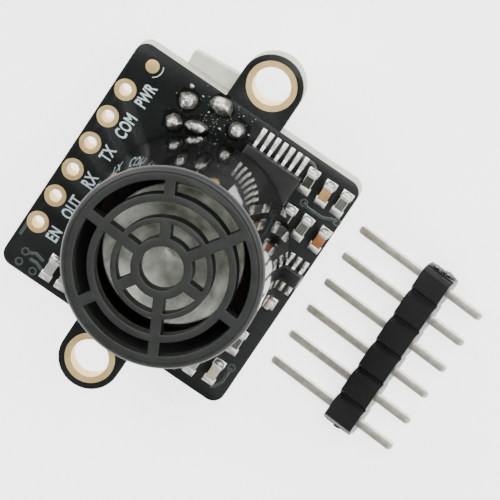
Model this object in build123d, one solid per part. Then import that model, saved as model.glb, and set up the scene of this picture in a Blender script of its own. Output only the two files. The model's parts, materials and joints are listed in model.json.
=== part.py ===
from build123d import *
import os
from math import atan2, cos, degrees, radians, sin

# Ultrasonic distance sensor: a small circuit board that carries one open-type transducer,
# with a loose six-way pin header that belongs to it.
# Millimetres.  +Z is the way the transducer faces, +Y runs along the row of header holes,
# +X from that row towards the chips.  The origin is midway between the two ear holes,
# on the back face of the board.

# ---- circuit board ----
BOARD_X = 20.4
BOARD_Y = 21.0
BOARD_T = 1.6
BOARD_CORNER_R = 1.0
EAR_PROUD = 2.6
EAR_R = 2.5
EAR_HOLE_D = 3.0
EAR_RING_D = 4.0

# ---- plated holes and pads ----
FOIL_T = 0.05
HEADER_PITCH = 2.54
HEADER_COUNT = 6
HEADER_HOLE_D = 1.0
HEADER_PAD_D = 1.75
HEADER_ROW_INSET = 1.05
TEST_PAD_D = 1.1
TEST_PAD_INSET_X = 1.8
TEST_PAD_INSET_Y = 1.4

# ---- transducer ----
CAN_D = 15.7
CAN_H = 11.1
CAN_WALL = 0.8
CAN_EDGE_R = 0.5
CAN_OFFSET_X = 1.1
CAN_OVER_CHIP = 0.2
CAN_FIT = 0.05
GRILLE_T = 1.2
GRILLE_RIM_W = 1.05
OUTER_SLOT_W = 1.05
OUTER_BAR_W = 0.6
MIDDLE_SLOT_W = 1.2
MIDDLE_BAR_W = 0.45
INNER_SLOT_W = 1.1
INNER_BAR_W = 0.7
SPOKE_W = 0.85
SPOKE_COUNT = 6
MIDDLE_SPOKE_COUNT = 3
GRILLE_TURN = -3.0
BASE_T = 1.5
FOOT_D = 1.6
FOOT_INSET = 1.65
FOOT_ANGLES = (105.0, 205.0, 305.0)
RING_W = 1.0
RING_OVERLAP = 0.1
RING_H = 1.3
RING_NOTCH_W = 1.2
DISC_INSET = 1.0
DISC_T = 0.3
PIEZO_INSET = 1.3
PIEZO_T = 0.6
CONE_GAP = 1.55
CONE_H = 3.2
CONE_FOOT_R = 1.1
CONE_WALL = 0.25
TERMINAL_D = 0.8
TERMINAL_INSET = 2.05
TERMINAL_INSIDE = 0.9
TERMINAL_TAIL = 1.3
LEAD_WIRE_D = 0.3
PIN_HOLE_FIT = 0.1

# ---- solder ----
BACK_SOLDER_D = 2.0
BACK_SOLDER_H = 0.9
FRONT_SOLDER_D = 1.4
FRONT_SOLDER_H = 0.65

# ---- step-up transformer on the back ----
# U and V are the transformer's own axes: it is soldered a little askew on the board.
TRANSFORMER_X = -2.25
TRANSFORMER_EDGE_DISTANCE = 3.5
TRANSFORMER_TURN = 5.3
TRANSFORMER_PIN_D = 0.6
TRANSFORMER_PIN_PROUD = 0.8
TRANSFORMER_PINS = ((-2.3, 1.7), (0.2, 2.6), (-2.5, -0.35), (-0.8, 0.2), (2.1, 1.5))
PLATE_U = 7.6
PLATE_V = 7.6
PLATE_T = 0.9
NOSE_U = 4.8
NOSE_V = 1.2
BACK_HEIGHT = 5.4
CORE_U = 7.2
CORE_V = 6.0
CORE_H = 2.6
CORE_LEG = 0.9
CORE_POST = 1.8
CORE_YOKE = 1.0
CORE_GAP = 0.06
TUBE_WALL = 0.4
TUBE_FIT = 0.05
FLANGE_U = 5.2
FLANGE_T = 0.45
WINDING_BUILD = 0.75
WINDING_CLEAR = 0.1

# ---- storage capacitor on the back ----
STORAGE_X = 5.6
STORAGE_Y = -5.6
STORAGE_CAN_D = 6.3
STORAGE_BASE = 6.6
STORAGE_BASE_T = 0.9
STORAGE_BASE_CUT = 1.3
STORAGE_CAN_EDGE_R = 0.4
STORAGE_LEAD_W = 0.7
STORAGE_LEAD_T = 0.15
STORAGE_LEAD_LEN = 2.6

# ---- chips: body length, body width, body height, pitch, lead width, tip-to-tip ----
LEAD_T = 0.15
CHIP_STANDOFF = 0.1
LEAD_FOOT = 0.6
AMPLIFIER = dict(length=5.0, width=4.4, height=1.0, pitch=0.65, lead=0.25, span=6.4, left=7, right=7)
CONTROLLER = dict(length=6.5, width=4.4, height=1.0, pitch=0.65, lead=0.25, span=6.4, left=10, right=10)
COMPARATOR = dict(length=2.0, width=1.25, height=0.85, pitch=0.65, lead=0.25, span=2.2, left=3, right=3)
REGULATOR = dict(length=2.9, width=1.6, height=1.1, pitch=0.95, lead=0.4, span=2.8, left=3, right=2)
TRANSISTOR = dict(length=2.9, width=1.3, height=1.0, pitch=1.9, lead=0.4, span=2.4, left=2, right=1)
AMPLIFIER_AT = (3.4, 6.4)
COMPARATOR_AT = (9.15, 1.6)
CONTROLLER_AT = (-3.6, -6.3)
REGULATOR_AT = (6.2, 4.2)
TRANSISTOR_AT = (5.6, 8.3)

# ---- 0603 chip resistors and capacitors: centre and turn on the board ----
CHIP_PART_L = 1.6
CHIP_PART_W = 0.8
CHIP_CAP_L = 0.35
RESISTOR_H = 0.45
CAPACITOR_H = 0.8
FRONT_RESISTORS = (
    (6.4, 8.55, 90), (9.45, 8.55, 90), (6.5, 5.15, 90), (8.0, 5.2, 90),
    (6.9, -8.6, 90), (8.7, -5.3, 90), (-6.35, -8.85, 90), (-5.0, -8.85, 90),
)
FRONT_CAPACITORS = ((8.0, 8.5, 90), (9.6, 5.2, 90), (8.55, -8.3, 90), (8.5, -1.2, 0))
BACK_RESISTORS = ((8.9, 8.3, 90), (3.2, 1.6, 0), (-7.3, -0.6, 90), (0.9, -1.6, 0), (0.9, -3.1, 0))
BACK_CAPACITORS = ((8.9, 5.2, 90), (8.9, 2.4, 90), (-1.2, 1.6, 0), (-7.3, 1.8, 90))

# ---- loose pin header ----
STRIP_W = 2.5
STRIP_H = 2.5
STRIP_NOTCH = 0.45
STRIP_FROM_BOARD = 8.85
STRIP_Y = -0.45
PIN_SIDE = 0.64
PIN_LONG = 6.0
PIN_SHORT = 3.2
PIN_POINT = 0.25

# ---- derived sizes and places ----
EAR_Y = BOARD_Y / 2 + EAR_PROUD
FRONT_Z = BOARD_T
CAN_BOTTOM_Z = FRONT_Z + CHIP_STANDOFF + AMPLIFIER["height"] + CAN_OVER_CHIP
CAN_TOP_Z = CAN_BOTTOM_Z + CAN_H
BASE_TOP_Z = CAN_BOTTOM_Z + BASE_T
DISC_Z = BASE_TOP_Z + RING_H
CONE_Z = DISC_Z + DISC_T
CAN_INNER_R = CAN_D / 2 - CAN_WALL
OUTER_SLOT_R = CAN_D / 2 - GRILLE_RIM_W
OUTER_BAR_R = OUTER_SLOT_R - OUTER_SLOT_W
MIDDLE_SLOT_R = OUTER_BAR_R - OUTER_BAR_W
MIDDLE_BAR_R = MIDDLE_SLOT_R - MIDDLE_SLOT_W
INNER_SLOT_R = MIDDLE_BAR_R - MIDDLE_BAR_W
INNER_BAR_R = INNER_SLOT_R - INNER_SLOT_W
GRILLE_HOLE_R = INNER_BAR_R - INNER_BAR_W
CONE_R = CAN_INNER_R - CONE_GAP
DISC_R = CONE_R - DISC_INSET
PIEZO_R = DISC_R - PIEZO_INSET
RING_OUTER_R = DISC_R + RING_OVERLAP
RING_INNER_R = RING_OUTER_R - RING_W
FOOT_RING_R = CAN_INNER_R - FOOT_INSET
TERMINAL_SPACING = 2 * (CAN_INNER_R - TERMINAL_INSET)
REST_Z = -BACK_HEIGHT
TRANSFORMER_Y = BOARD_Y / 2 - TRANSFORMER_EDGE_DISTANCE
TERMINAL_XS = (CAN_OFFSET_X - TERMINAL_SPACING / 2, CAN_OFFSET_X + TERMINAL_SPACING / 2)
HEADER_X = HEADER_ROW_INSET - BOARD_X / 2
HEADER_YS = [(i - (HEADER_COUNT - 1) / 2) * HEADER_PITCH for i in range(HEADER_COUNT)]
CORE_MID_Z = REST_Z + (BACK_HEIGHT - PLATE_T) / 2
STRIP_X = BOARD_X / 2 + STRIP_FROM_BOARD
STRIP_LEAN = degrees(atan2(STRIP_H / 2 - PIN_SIDE / 2, PIN_LONG - PIN_POINT))


def rod(diameter, z_low, z_high, x=0.0, y=0.0):
    """An upright round bar between two heights."""
    bar = Cylinder(diameter / 2, z_high - z_low, align=(Align.CENTER, Align.CENTER, Align.MIN))
    return Pos(x, y, z_low) * bar


def block(size_x, size_y, z_low, z_high, x=0.0, y=0.0):
    """An upright box between two heights, centred on x and y."""
    box = Box(size_x, size_y, z_high - z_low, align=(Align.CENTER, Align.CENTER, Align.MIN))
    return Pos(x, y, z_low) * box


def group(pieces):
    """Several separate solids kept together as one sub-part."""
    return Compound([solid for piece in pieces for solid in piece.solids()])


def on_transformer(shape):
    """Carry a shape from the transformer's own axes to its place on the board."""
    return Pos(TRANSFORMER_X, TRANSFORMER_Y, 0) * Rot(0, 0, TRANSFORMER_TURN) * shape


def transformer_pin_places():
    """The five pins' places on the board, from their places on the transformer."""
    turn = radians(TRANSFORMER_TURN)
    places = []
    for u, v in TRANSFORMER_PINS:
        x = TRANSFORMER_X + u * cos(turn) - v * sin(turn)
        y = TRANSFORMER_Y + u * sin(turn) + v * cos(turn)
        places.append((x, y))
    return places


# ---- board ----
def circuit_board():
    outline = RectangleRounded(BOARD_X, BOARD_Y, BOARD_CORNER_R)
    for side in (-1, 1):
        outline += Pos(0, side * EAR_Y) * Circle(EAR_R)
        outline += Pos(0, side * EAR_Y / 2) * Rectangle(2 * EAR_R, EAR_Y)
    board = extrude(outline, BOARD_T)
    for side in (-1, 1):
        board -= rod(EAR_HOLE_D + 2 * FOIL_T, 0, BOARD_T, 0, side * EAR_Y)
    for y in HEADER_YS:
        board -= rod(HEADER_HOLE_D + 2 * FOIL_T, 0, BOARD_T, HEADER_X, y)
    for x in TERMINAL_XS:
        board -= rod(TERMINAL_D + 2 * PIN_HOLE_FIT, 0, BOARD_T, x, 0)
    for x, y in transformer_pin_places():
        board -= rod(TRANSFORMER_PIN_D + 2 * PIN_HOLE_FIT, 0, BOARD_T, x, y)
    return board


def plated_hole(x, y, hole_d, ring_d):
    """A copper barrel through the board with a flat ring on each face."""
    shell = rod(hole_d + 2 * FOIL_T, 0, BOARD_T, x, y)
    shell += rod(ring_d, BOARD_T, BOARD_T + FOIL_T, x, y)
    shell += rod(ring_d, -FOIL_T, 0, x, y)
    return shell - rod(hole_d, -FOIL_T, BOARD_T + FOIL_T, x, y)


def board_header_hole_plating():
    return group([plated_hole(HEADER_X, y, HEADER_HOLE_D, HEADER_PAD_D) for y in HEADER_YS])


def board_ear_hole_plating():
    return group([plated_hole(0, side * EAR_Y, EAR_HOLE_D, EAR_RING_D) for side in (-1, 1)])


def test_pad():
    return rod(TEST_PAD_D, FRONT_Z, FRONT_Z + FOIL_T,
               TEST_PAD_INSET_X - BOARD_X / 2, BOARD_Y / 2 - TEST_PAD_INSET_Y)


# ---- transducer, built on its own axis and then carried to its place ----
def at_can(shape):
    return Pos(CAN_OFFSET_X, 0, 0) * shape


def ring_slots(inner_r, outer_r, spokes, first_angle):
    """A ring-shaped cut broken by radial spokes."""
    low, high = CAN_TOP_Z - GRILLE_T, CAN_TOP_Z
    cut = rod(2 * outer_r, low, high) - rod(2 * inner_r, low, high)
    for i in range(spokes):
        bar = block(outer_r * 1.2, SPOKE_W, low, high, outer_r * 0.6)
        cut -= Rot(0, 0, GRILLE_TURN + first_angle + i * 360 / spokes) * bar
    return cut


def transducer_can():
    can = rod(CAN_D, CAN_BOTTOM_Z, CAN_TOP_Z)
    can = fillet(can.edges().group_by(Axis.Z)[-1], CAN_EDGE_R)
    can -= rod(2 * CAN_INNER_R, CAN_BOTTOM_Z, CAN_TOP_Z - GRILLE_T)
    can -= rod(2 * GRILLE_HOLE_R, CAN_TOP_Z - GRILLE_T, CAN_TOP_Z)
    can -= ring_slots(INNER_BAR_R, INNER_SLOT_R, SPOKE_COUNT, 0)
    can -= ring_slots(MIDDLE_BAR_R, MIDDLE_SLOT_R, MIDDLE_SPOKE_COUNT, 60)
    can -= ring_slots(OUTER_BAR_R, OUTER_SLOT_R, SPOKE_COUNT, 0)
    return at_can(can)


def transducer_base():
    """The plate that closes the can, with three feet that stand on the board."""
    plate = rod(2 * (CAN_INNER_R - CAN_FIT), CAN_BOTTOM_Z, BASE_TOP_Z)
    for angle in FOOT_ANGLES:
        foot_x = FOOT_RING_R * cos(radians(angle))
        foot_y = FOOT_RING_R * sin(radians(angle))
        plate += rod(FOOT_D, FRONT_Z, CAN_BOTTOM_Z, foot_x, foot_y)
    for x in TERMINAL_XS:
        plate -= rod(TERMINAL_D, CAN_BOTTOM_Z, BASE_TOP_Z, x - CAN_OFFSET_X)
    return at_can(plate)


def damping_ring():
    """Soft ring under the vibrating disc, notched where the two lead wires pass."""
    ring = rod(2 * RING_OUTER_R, BASE_TOP_Z, DISC_Z) - rod(2 * RING_INNER_R, BASE_TOP_Z, DISC_Z)
    notch = block(2 * RING_OUTER_R, RING_NOTCH_W, BASE_TOP_Z, DISC_Z)
    return at_can(ring - notch)


def vibrating_disc():
    return at_can(rod(2 * DISC_R, DISC_Z, CONE_Z))


def piezo_disc():
    return at_can(rod(2 * PIEZO_R, DISC_Z - PIEZO_T, DISC_Z))


def resonator_cone():
    """Thin conical horn that stands on the vibrating disc."""
    profile = Polyline(
        (0, CONE_Z), (CONE_FOOT_R, CONE_Z), (CONE_R, CONE_Z + CONE_H - CONE_WALL),
        (CONE_R, CONE_Z + CONE_H), (CONE_FOOT_R, CONE_Z + CONE_WALL), (0, CONE_Z + CONE_WALL),
        close=True,
    )
    face = make_face(Plane.XZ * profile)
    return at_can(revolve(face, Axis.Z))


def transducer_terminals():
    low, high = -TERMINAL_TAIL, BASE_TOP_Z + TERMINAL_INSIDE
    return group([rod(TERMINAL_D, low, high, x) for x in TERMINAL_XS])


def transducer_lead_wires():
    """Two fine wires from the terminals' inner ends to the piezo disc's underside."""
    wire_z = DISC_Z - PIEZO_T - LEAD_WIRE_D / 2
    outer = TERMINAL_SPACING / 2 - TERMINAL_D / 2
    length = outer - PIEZO_R / 2
    wires = []
    for side in (-1, 1):
        wire = Rot(0, 90, 0) * Cylinder(LEAD_WIRE_D / 2, length)
        wires.append(Pos(CAN_OFFSET_X + side * (outer - length / 2), 0, wire_z) * wire)
    return group(wires)


# ---- solder ----
def solder_cone(x, y, pin_d, base_d, height, face_z, outward):
    """A fillet of solder that climbs a pin from one face of the board."""
    tip_r = pin_d / 2 + 0.1
    cone = Cone(base_d / 2, tip_r, height, align=(Align.CENTER, Align.CENTER, Align.MIN))
    cone -= Cylinder(pin_d / 2, height, align=(Align.CENTER, Align.CENTER, Align.MIN))
    turn = 0 if outward > 0 else 180
    return Pos(x, y, face_z) * Rot(turn, 0, 0) * cone


def terminal_solder_joints():
    return group([
        solder_cone(x, 0, TERMINAL_D, BACK_SOLDER_D, BACK_SOLDER_H, 0, -1) for x in TERMINAL_XS
    ])


def transformer_solder_joints():
    return group([
        solder_cone(x, y, TRANSFORMER_PIN_D, FRONT_SOLDER_D, FRONT_SOLDER_H, FRONT_Z, 1)
        for x, y in transformer_pin_places()
    ])


# ---- transformer ----
def transformer_bobbin():
    """Pin plate with a nose over the board's edge, two upright flanges and the tube between them."""
    bobbin = block(PLATE_U, PLATE_V, -PLATE_T, 0)
    bobbin += block(NOSE_U, NOSE_V, -PLATE_T, 0, (NOSE_U - PLATE_U) / 2, (PLATE_V + NOSE_V) / 2)
    window_v = CORE_V - 2 * CORE_YOKE
    flange_v = window_v / 2 - TUBE_FIT - FLANGE_T / 2
    for side in (-1, 1):
        bobbin += block(FLANGE_U, FLANGE_T, REST_Z, -PLATE_T, 0, side * flange_v)
    tube_u = CORE_POST + 2 * (TUBE_FIT + TUBE_WALL)
    tube_h = CORE_H + 2 * (TUBE_FIT + TUBE_WALL)
    tube_v = 2 * flange_v + FLANGE_T
    bobbin += block(tube_u, tube_v, CORE_MID_Z - tube_h / 2, CORE_MID_Z + tube_h / 2)
    bore_h = CORE_H + 2 * TUBE_FIT
    bore_u = CORE_POST + 2 * TUBE_FIT
    bobbin -= block(bore_u, tube_v, CORE_MID_Z - bore_h / 2, CORE_MID_Z + bore_h / 2)
    for u, v in TRANSFORMER_PINS:
        bobbin -= rod(TRANSFORMER_PIN_D, -PLATE_T, 0, u, v)
    return on_transformer(bobbin)


def transformer_winding():
    tube_u = CORE_POST + 2 * (TUBE_FIT + TUBE_WALL)
    tube_h = CORE_H + 2 * (TUBE_FIT + TUBE_WALL)
    between = CORE_V - 2 * CORE_YOKE - 2 * TUBE_FIT - 2 * FLANGE_T
    wound_u = tube_u + 2 * WINDING_BUILD
    wound_h = BACK_HEIGHT - PLATE_T - 2 * WINDING_CLEAR
    coil = block(wound_u, between, CORE_MID_Z - wound_h / 2, CORE_MID_Z + wound_h / 2)
    coil = fillet(coil.edges().filter_by(Axis.Y), WINDING_BUILD / 2)
    coil -= block(tube_u, between, CORE_MID_Z - tube_h / 2, CORE_MID_Z + tube_h / 2)
    return on_transformer(coil)


def transformer_core():
    """Two E-shaped ferrite halves whose legs meet in the middle."""
    low, high = CORE_MID_Z - CORE_H / 2, CORE_MID_Z + CORE_H / 2
    half_v = CORE_V / 2 - CORE_GAP / 2
    halves = []
    for side in (-1, 1):
        middle_v = side * (CORE_GAP / 2 + half_v / 2)
        yoke_v = side * (CORE_V / 2 - CORE_YOKE / 2)
        half = block(CORE_U, CORE_YOKE, low, high, 0, yoke_v)
        half += block(CORE_POST, half_v, low, high, 0, middle_v)
        for leg in (-1, 1):
            half += block(CORE_LEG, half_v, low, high, leg * (CORE_U - CORE_LEG) / 2, middle_v)
        halves.append(half)
    return on_transformer(group(halves))


def transformer_pins():
    return group([
        rod(TRANSFORMER_PIN_D, -PLATE_T, FRONT_Z + TRANSFORMER_PIN_PROUD, x, y)
        for x, y in transformer_pin_places()
    ])


# ---- storage capacitor ----
def storage_capacitor_base():
    half = STORAGE_BASE / 2
    outline = Polyline(
        (-half, -half + STORAGE_BASE_CUT), (-half, half - STORAGE_BASE_CUT),
        (-half + STORAGE_BASE_CUT, half), (half, half), (half, -half),
        (-half + STORAGE_BASE_CUT, -half), close=True,
    )
    base = extrude(make_face(outline), STORAGE_BASE_T)
    low = -STORAGE_LEAD_T - STORAGE_BASE_T
    return Pos(STORAGE_X, STORAGE_Y, low) * base


def storage_capacitor_can():
    top = -STORAGE_LEAD_T - STORAGE_BASE_T
    can = rod(STORAGE_CAN_D, REST_Z, top, STORAGE_X, STORAGE_Y)
    return fillet(can.edges().group_by(Axis.Z)[0], STORAGE_CAN_EDGE_R)


def storage_capacitor_leads():
    reach = STORAGE_BASE / 2 + 0.3 - STORAGE_LEAD_LEN / 2
    return group([
        block(STORAGE_LEAD_LEN, STORAGE_LEAD_W, -STORAGE_LEAD_T, 0, STORAGE_X + side * reach, STORAGE_Y)
        for side in (-1, 1)
    ])


# ---- chips: built on the front face at the origin, leads along Y, then placed ----
def chip_body(chip):
    """Moulded body with its sides drafted above and below the lead line."""
    taper = 6
    half_height = chip["height"] / 2
    waist = Pos(0, 0, CHIP_STANDOFF + half_height) * Rectangle(chip["length"], chip["width"])
    upper = extrude(waist, half_height, taper=taper)
    lower = extrude(waist, half_height, dir=(0, 0, -1), taper=taper)
    return upper + lower


def gull_wing_lead(chip):
    """One lead that leaves the body at its waist, turns down and ends in a flat foot."""
    knee_z = CHIP_STANDOFF + chip["height"] / 2
    body_y = chip["width"] / 2
    tip_y = chip["span"] / 2
    foot = min(LEAD_FOOT, (tip_y - body_y) / 2)
    heel_y = tip_y - foot
    side = Polyline(
        (body_y, knee_z - LEAD_T / 2), (body_y, knee_z + LEAD_T / 2),
        (heel_y, knee_z + LEAD_T / 2), (heel_y + LEAD_T, LEAD_T), (tip_y, LEAD_T),
        (tip_y, 0), (heel_y, 0), (heel_y - LEAD_T, knee_z - LEAD_T / 2), close=True,
    )
    return extrude(make_face(Plane.YZ * side), chip["lead"] / 2, both=True)


def chip_leads(chip):
    """Both rows of leads; a row with fewer leads leaves out the middle ones."""
    leads = []
    one = gull_wing_lead(chip)
    row = chip["left"]
    for i in range(row):
        leads.append(Pos((i - (row - 1) / 2) * chip["pitch"], 0, 0) * one)
    far = chip["right"]
    far_pitch = chip["pitch"] * (row - 1) / max(far - 1, 1)
    for i in range(far):
        leads.append(Pos((i - (far - 1) / 2) * far_pitch, 0, 0) * Rot(0, 0, 180) * one)
    return group(leads)


def on_front(shape, place):
    return Pos(place[0], place[1], FRONT_Z) * shape


def on_back(shape, place):
    return Pos(place[0], place[1], 0) * Rot(0, 180, 0) * shape


# ---- chip resistors and capacitors ----
def chip_part_body(height):
    return block(CHIP_PART_L - 2 * CHIP_CAP_L, CHIP_PART_W, 0, height)


def chip_part_end_caps(height):
    reach = (CHIP_PART_L - CHIP_CAP_L) / 2
    return group([block(CHIP_CAP_L, CHIP_PART_W, 0, height, side * reach) for side in (-1, 1)])


def spread(shape, places, put):
    """One copy of a chip part at each of its places on one face of the board."""
    return group([put(Rot(0, 0, turn) * shape, (x, y)) for x, y, turn in places])


# ---- loose pin header ----
def strip_pin_places():
    return [STRIP_Y + y for y in HEADER_YS]


def lean_strip(shape):
    """Tip a shape about the strip's lower edge until the long pins' tips touch the table."""
    edge = Pos(STRIP_X - STRIP_W / 2, 0, REST_Z)
    return edge * Rot(0, -STRIP_LEAN, 0) * edge.inverse() * shape


def header_strip_body():
    """Six moulded segments in a row with a notch between each pair, square holes for the pins."""
    low, high = REST_Z, REST_Z + STRIP_H
    length = HEADER_COUNT * HEADER_PITCH
    body = block(STRIP_W, length, low, high, STRIP_X, STRIP_Y)
    notches = [STRIP_Y + (i - HEADER_COUNT / 2) * HEADER_PITCH for i in range(HEADER_COUNT + 1)]
    for y in notches:
        for z in (low, high):
            cutter = Rot(45, 0, 0) * Box(STRIP_W, STRIP_NOTCH * 2**0.5, STRIP_NOTCH * 2**0.5)
            body -= Pos(STRIP_X, y, z) * cutter
    for y in strip_pin_places():
        body -= Pos(STRIP_X, y, (low + high) / 2) * Box(STRIP_W, PIN_SIDE, PIN_SIDE)
    return lean_strip(body)


def header_strip_pins():
    """Six square pins with pointed ends, longer on the side towards the board."""
    length = PIN_LONG + STRIP_W + PIN_SHORT
    middle_x = STRIP_X + (PIN_SHORT - PIN_LONG) / 2
    pin = Box(length, PIN_SIDE, PIN_SIDE)
    ends = [*pin.faces().sort_by(Axis.X)[0].edges(), *pin.faces().sort_by(Axis.X)[-1].edges()]
    pin = chamfer(ends, PIN_POINT, PIN_POINT / 2)
    middle_z = REST_Z + STRIP_H / 2
    return group([lean_strip(Pos(middle_x, y, middle_z) * pin) for y in strip_pin_places()])


SUB_PARTS = {
    "circuit_board": circuit_board(),
    "board_header_hole_plating": board_header_hole_plating(),
    "board_ear_hole_plating": board_ear_hole_plating(),
    "test_pad": test_pad(),
    "transducer_can": transducer_can(),
    "transducer_base": transducer_base(),
    "damping_ring": damping_ring(),
    "vibrating_disc": vibrating_disc(),
    "piezo_disc": piezo_disc(),
    "resonator_cone": resonator_cone(),
    "transducer_terminals": transducer_terminals(),
    "transducer_lead_wires": transducer_lead_wires(),
    "terminal_solder_joints": terminal_solder_joints(),
    "transformer_solder_joints": transformer_solder_joints(),
    "transformer_bobbin": transformer_bobbin(),
    "transformer_winding": transformer_winding(),
    "transformer_core": transformer_core(),
    "transformer_pins": transformer_pins(),
    "storage_capacitor_base": storage_capacitor_base(),
    "storage_capacitor_can": storage_capacitor_can(),
    "storage_capacitor_leads": storage_capacitor_leads(),
    "amplifier_chip_body": on_front(chip_body(AMPLIFIER), AMPLIFIER_AT),
    "amplifier_chip_leads": on_front(chip_leads(AMPLIFIER), AMPLIFIER_AT),
    "comparator_chip_body": on_front(chip_body(COMPARATOR), COMPARATOR_AT),
    "comparator_chip_leads": on_front(chip_leads(COMPARATOR), COMPARATOR_AT),
    "controller_chip_body": on_back(chip_body(CONTROLLER), CONTROLLER_AT),
    "controller_chip_leads": on_back(chip_leads(CONTROLLER), CONTROLLER_AT),
    "regulator_chip_body": on_back(chip_body(REGULATOR), REGULATOR_AT),
    "regulator_chip_leads": on_back(chip_leads(REGULATOR), REGULATOR_AT),
    "drive_transistor_body": on_back(chip_body(TRANSISTOR), TRANSISTOR_AT),
    "drive_transistor_leads": on_back(chip_leads(TRANSISTOR), TRANSISTOR_AT),
    "front_resistor_bodies": spread(chip_part_body(RESISTOR_H), FRONT_RESISTORS, on_front),
    "front_resistor_end_caps": spread(chip_part_end_caps(RESISTOR_H), FRONT_RESISTORS, on_front),
    "front_capacitor_bodies": spread(chip_part_body(CAPACITOR_H), FRONT_CAPACITORS, on_front),
    "front_capacitor_end_caps": spread(chip_part_end_caps(CAPACITOR_H), FRONT_CAPACITORS, on_front),
    "back_resistor_bodies": spread(chip_part_body(RESISTOR_H), BACK_RESISTORS, on_back),
    "back_resistor_end_caps": spread(chip_part_end_caps(RESISTOR_H), BACK_RESISTORS, on_back),
    "back_capacitor_bodies": spread(chip_part_body(CAPACITOR_H), BACK_CAPACITORS, on_back),
    "back_capacitor_end_caps": spread(chip_part_end_caps(CAPACITOR_H), BACK_CAPACITORS, on_back),
    "header_strip_body": header_strip_body(),
    "header_strip_pins": header_strip_pins(),
}

os.makedirs("parts", exist_ok=True)
for name, shape in SUB_PARTS.items():
    export_step(shape, f"parts/{name}.step")
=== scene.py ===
"""Ultrasonic distance sensor and its loose pin header, dressed around the fixed frame.

Every piece is modelled in millimetres in the frame's own axes and scaled to metres when it
is finished.  +Z is the way the transducer faces, +Y runs along the row of header holes.
"""
import json
import logging
import math
from dataclasses import dataclass
from enum import Enum
from typing import Any, Sequence

import bmesh
import bpy
from mathutils import Matrix, Vector, noise


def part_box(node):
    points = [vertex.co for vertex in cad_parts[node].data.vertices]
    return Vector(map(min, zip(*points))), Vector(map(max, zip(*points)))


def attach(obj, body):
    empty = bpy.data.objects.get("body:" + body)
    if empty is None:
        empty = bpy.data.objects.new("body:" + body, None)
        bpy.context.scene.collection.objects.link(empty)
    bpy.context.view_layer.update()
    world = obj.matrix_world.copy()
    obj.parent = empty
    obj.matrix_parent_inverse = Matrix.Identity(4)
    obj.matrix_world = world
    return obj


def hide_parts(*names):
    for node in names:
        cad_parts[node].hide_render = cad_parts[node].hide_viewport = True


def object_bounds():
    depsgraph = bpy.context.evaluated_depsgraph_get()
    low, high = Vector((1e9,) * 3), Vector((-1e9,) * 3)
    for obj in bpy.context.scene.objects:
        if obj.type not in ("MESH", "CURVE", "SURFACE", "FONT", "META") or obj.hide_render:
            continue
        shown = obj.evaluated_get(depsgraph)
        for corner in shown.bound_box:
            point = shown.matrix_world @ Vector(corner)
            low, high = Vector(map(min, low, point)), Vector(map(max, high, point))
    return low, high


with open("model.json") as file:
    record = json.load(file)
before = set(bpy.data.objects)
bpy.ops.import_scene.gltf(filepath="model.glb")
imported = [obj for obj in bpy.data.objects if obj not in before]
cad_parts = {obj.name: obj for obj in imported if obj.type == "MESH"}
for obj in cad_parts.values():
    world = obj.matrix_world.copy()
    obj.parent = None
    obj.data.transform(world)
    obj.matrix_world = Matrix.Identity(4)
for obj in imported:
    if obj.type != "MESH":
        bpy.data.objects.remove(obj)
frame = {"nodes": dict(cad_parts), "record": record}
CAD_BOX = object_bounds()

LOG = logging.getLogger("distance_sensor")
MM = 0.001
FULL_TURN = 2 * math.pi
WELD = 1e-5
WHITE = (1.0, 1.0, 1.0, 1.0)
LETTER_SPACING = 1.08
# Most of a noise texture's values lie between these two.
NOISE_LOW, NOISE_HIGH = 0.3, 0.7
# A colour Mix node's two inputs and its result have no names of their own.
MIX_A, MIX_B, MIX_RESULT = 6, 7, 2

Point2 = tuple[float, float]
Colour = tuple[float, float, float, float]


# --------------------------------------------------------------------------- finishes
def linear_colour(code: str) -> Colour:
    """Turn an sRGB hex colour into linear values.

    Args:
        code: six hex digits, such as "1B2321".

    Returns:
        Linear red, green and blue, with an alpha of one.
    """
    values = [int(code[i:i + 2], 16) / 255 for i in (0, 2, 4)]
    red, green, blue = (v / 12.92 if v <= 0.04045 else ((v + 0.055) / 1.055) ** 2.4
                        for v in values)
    return red, green, blue, 1.0


def add_node(tree: bpy.types.NodeTree, kind: str, settings: dict[str, Any] | None = None,
             inputs: dict[Any, Any] | None = None) -> bpy.types.Node:
    """Add one shader node.

    Args:
        tree: the material's node tree.
        kind: the node's Blender type name.
        settings: properties to set on the node.
        inputs: input socket to a value, or to the output socket that feeds it.

    Returns:
        The new node.
    """
    node = tree.nodes.new(kind)
    for key, value in (settings or {}).items():
        setattr(node, key, value)
    for key, value in (inputs or {}).items():
        if isinstance(value, bpy.types.NodeSocket):
            tree.links.new(value, node.inputs[key])
        else:
            node.inputs[key].default_value = value
    return node


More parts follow.
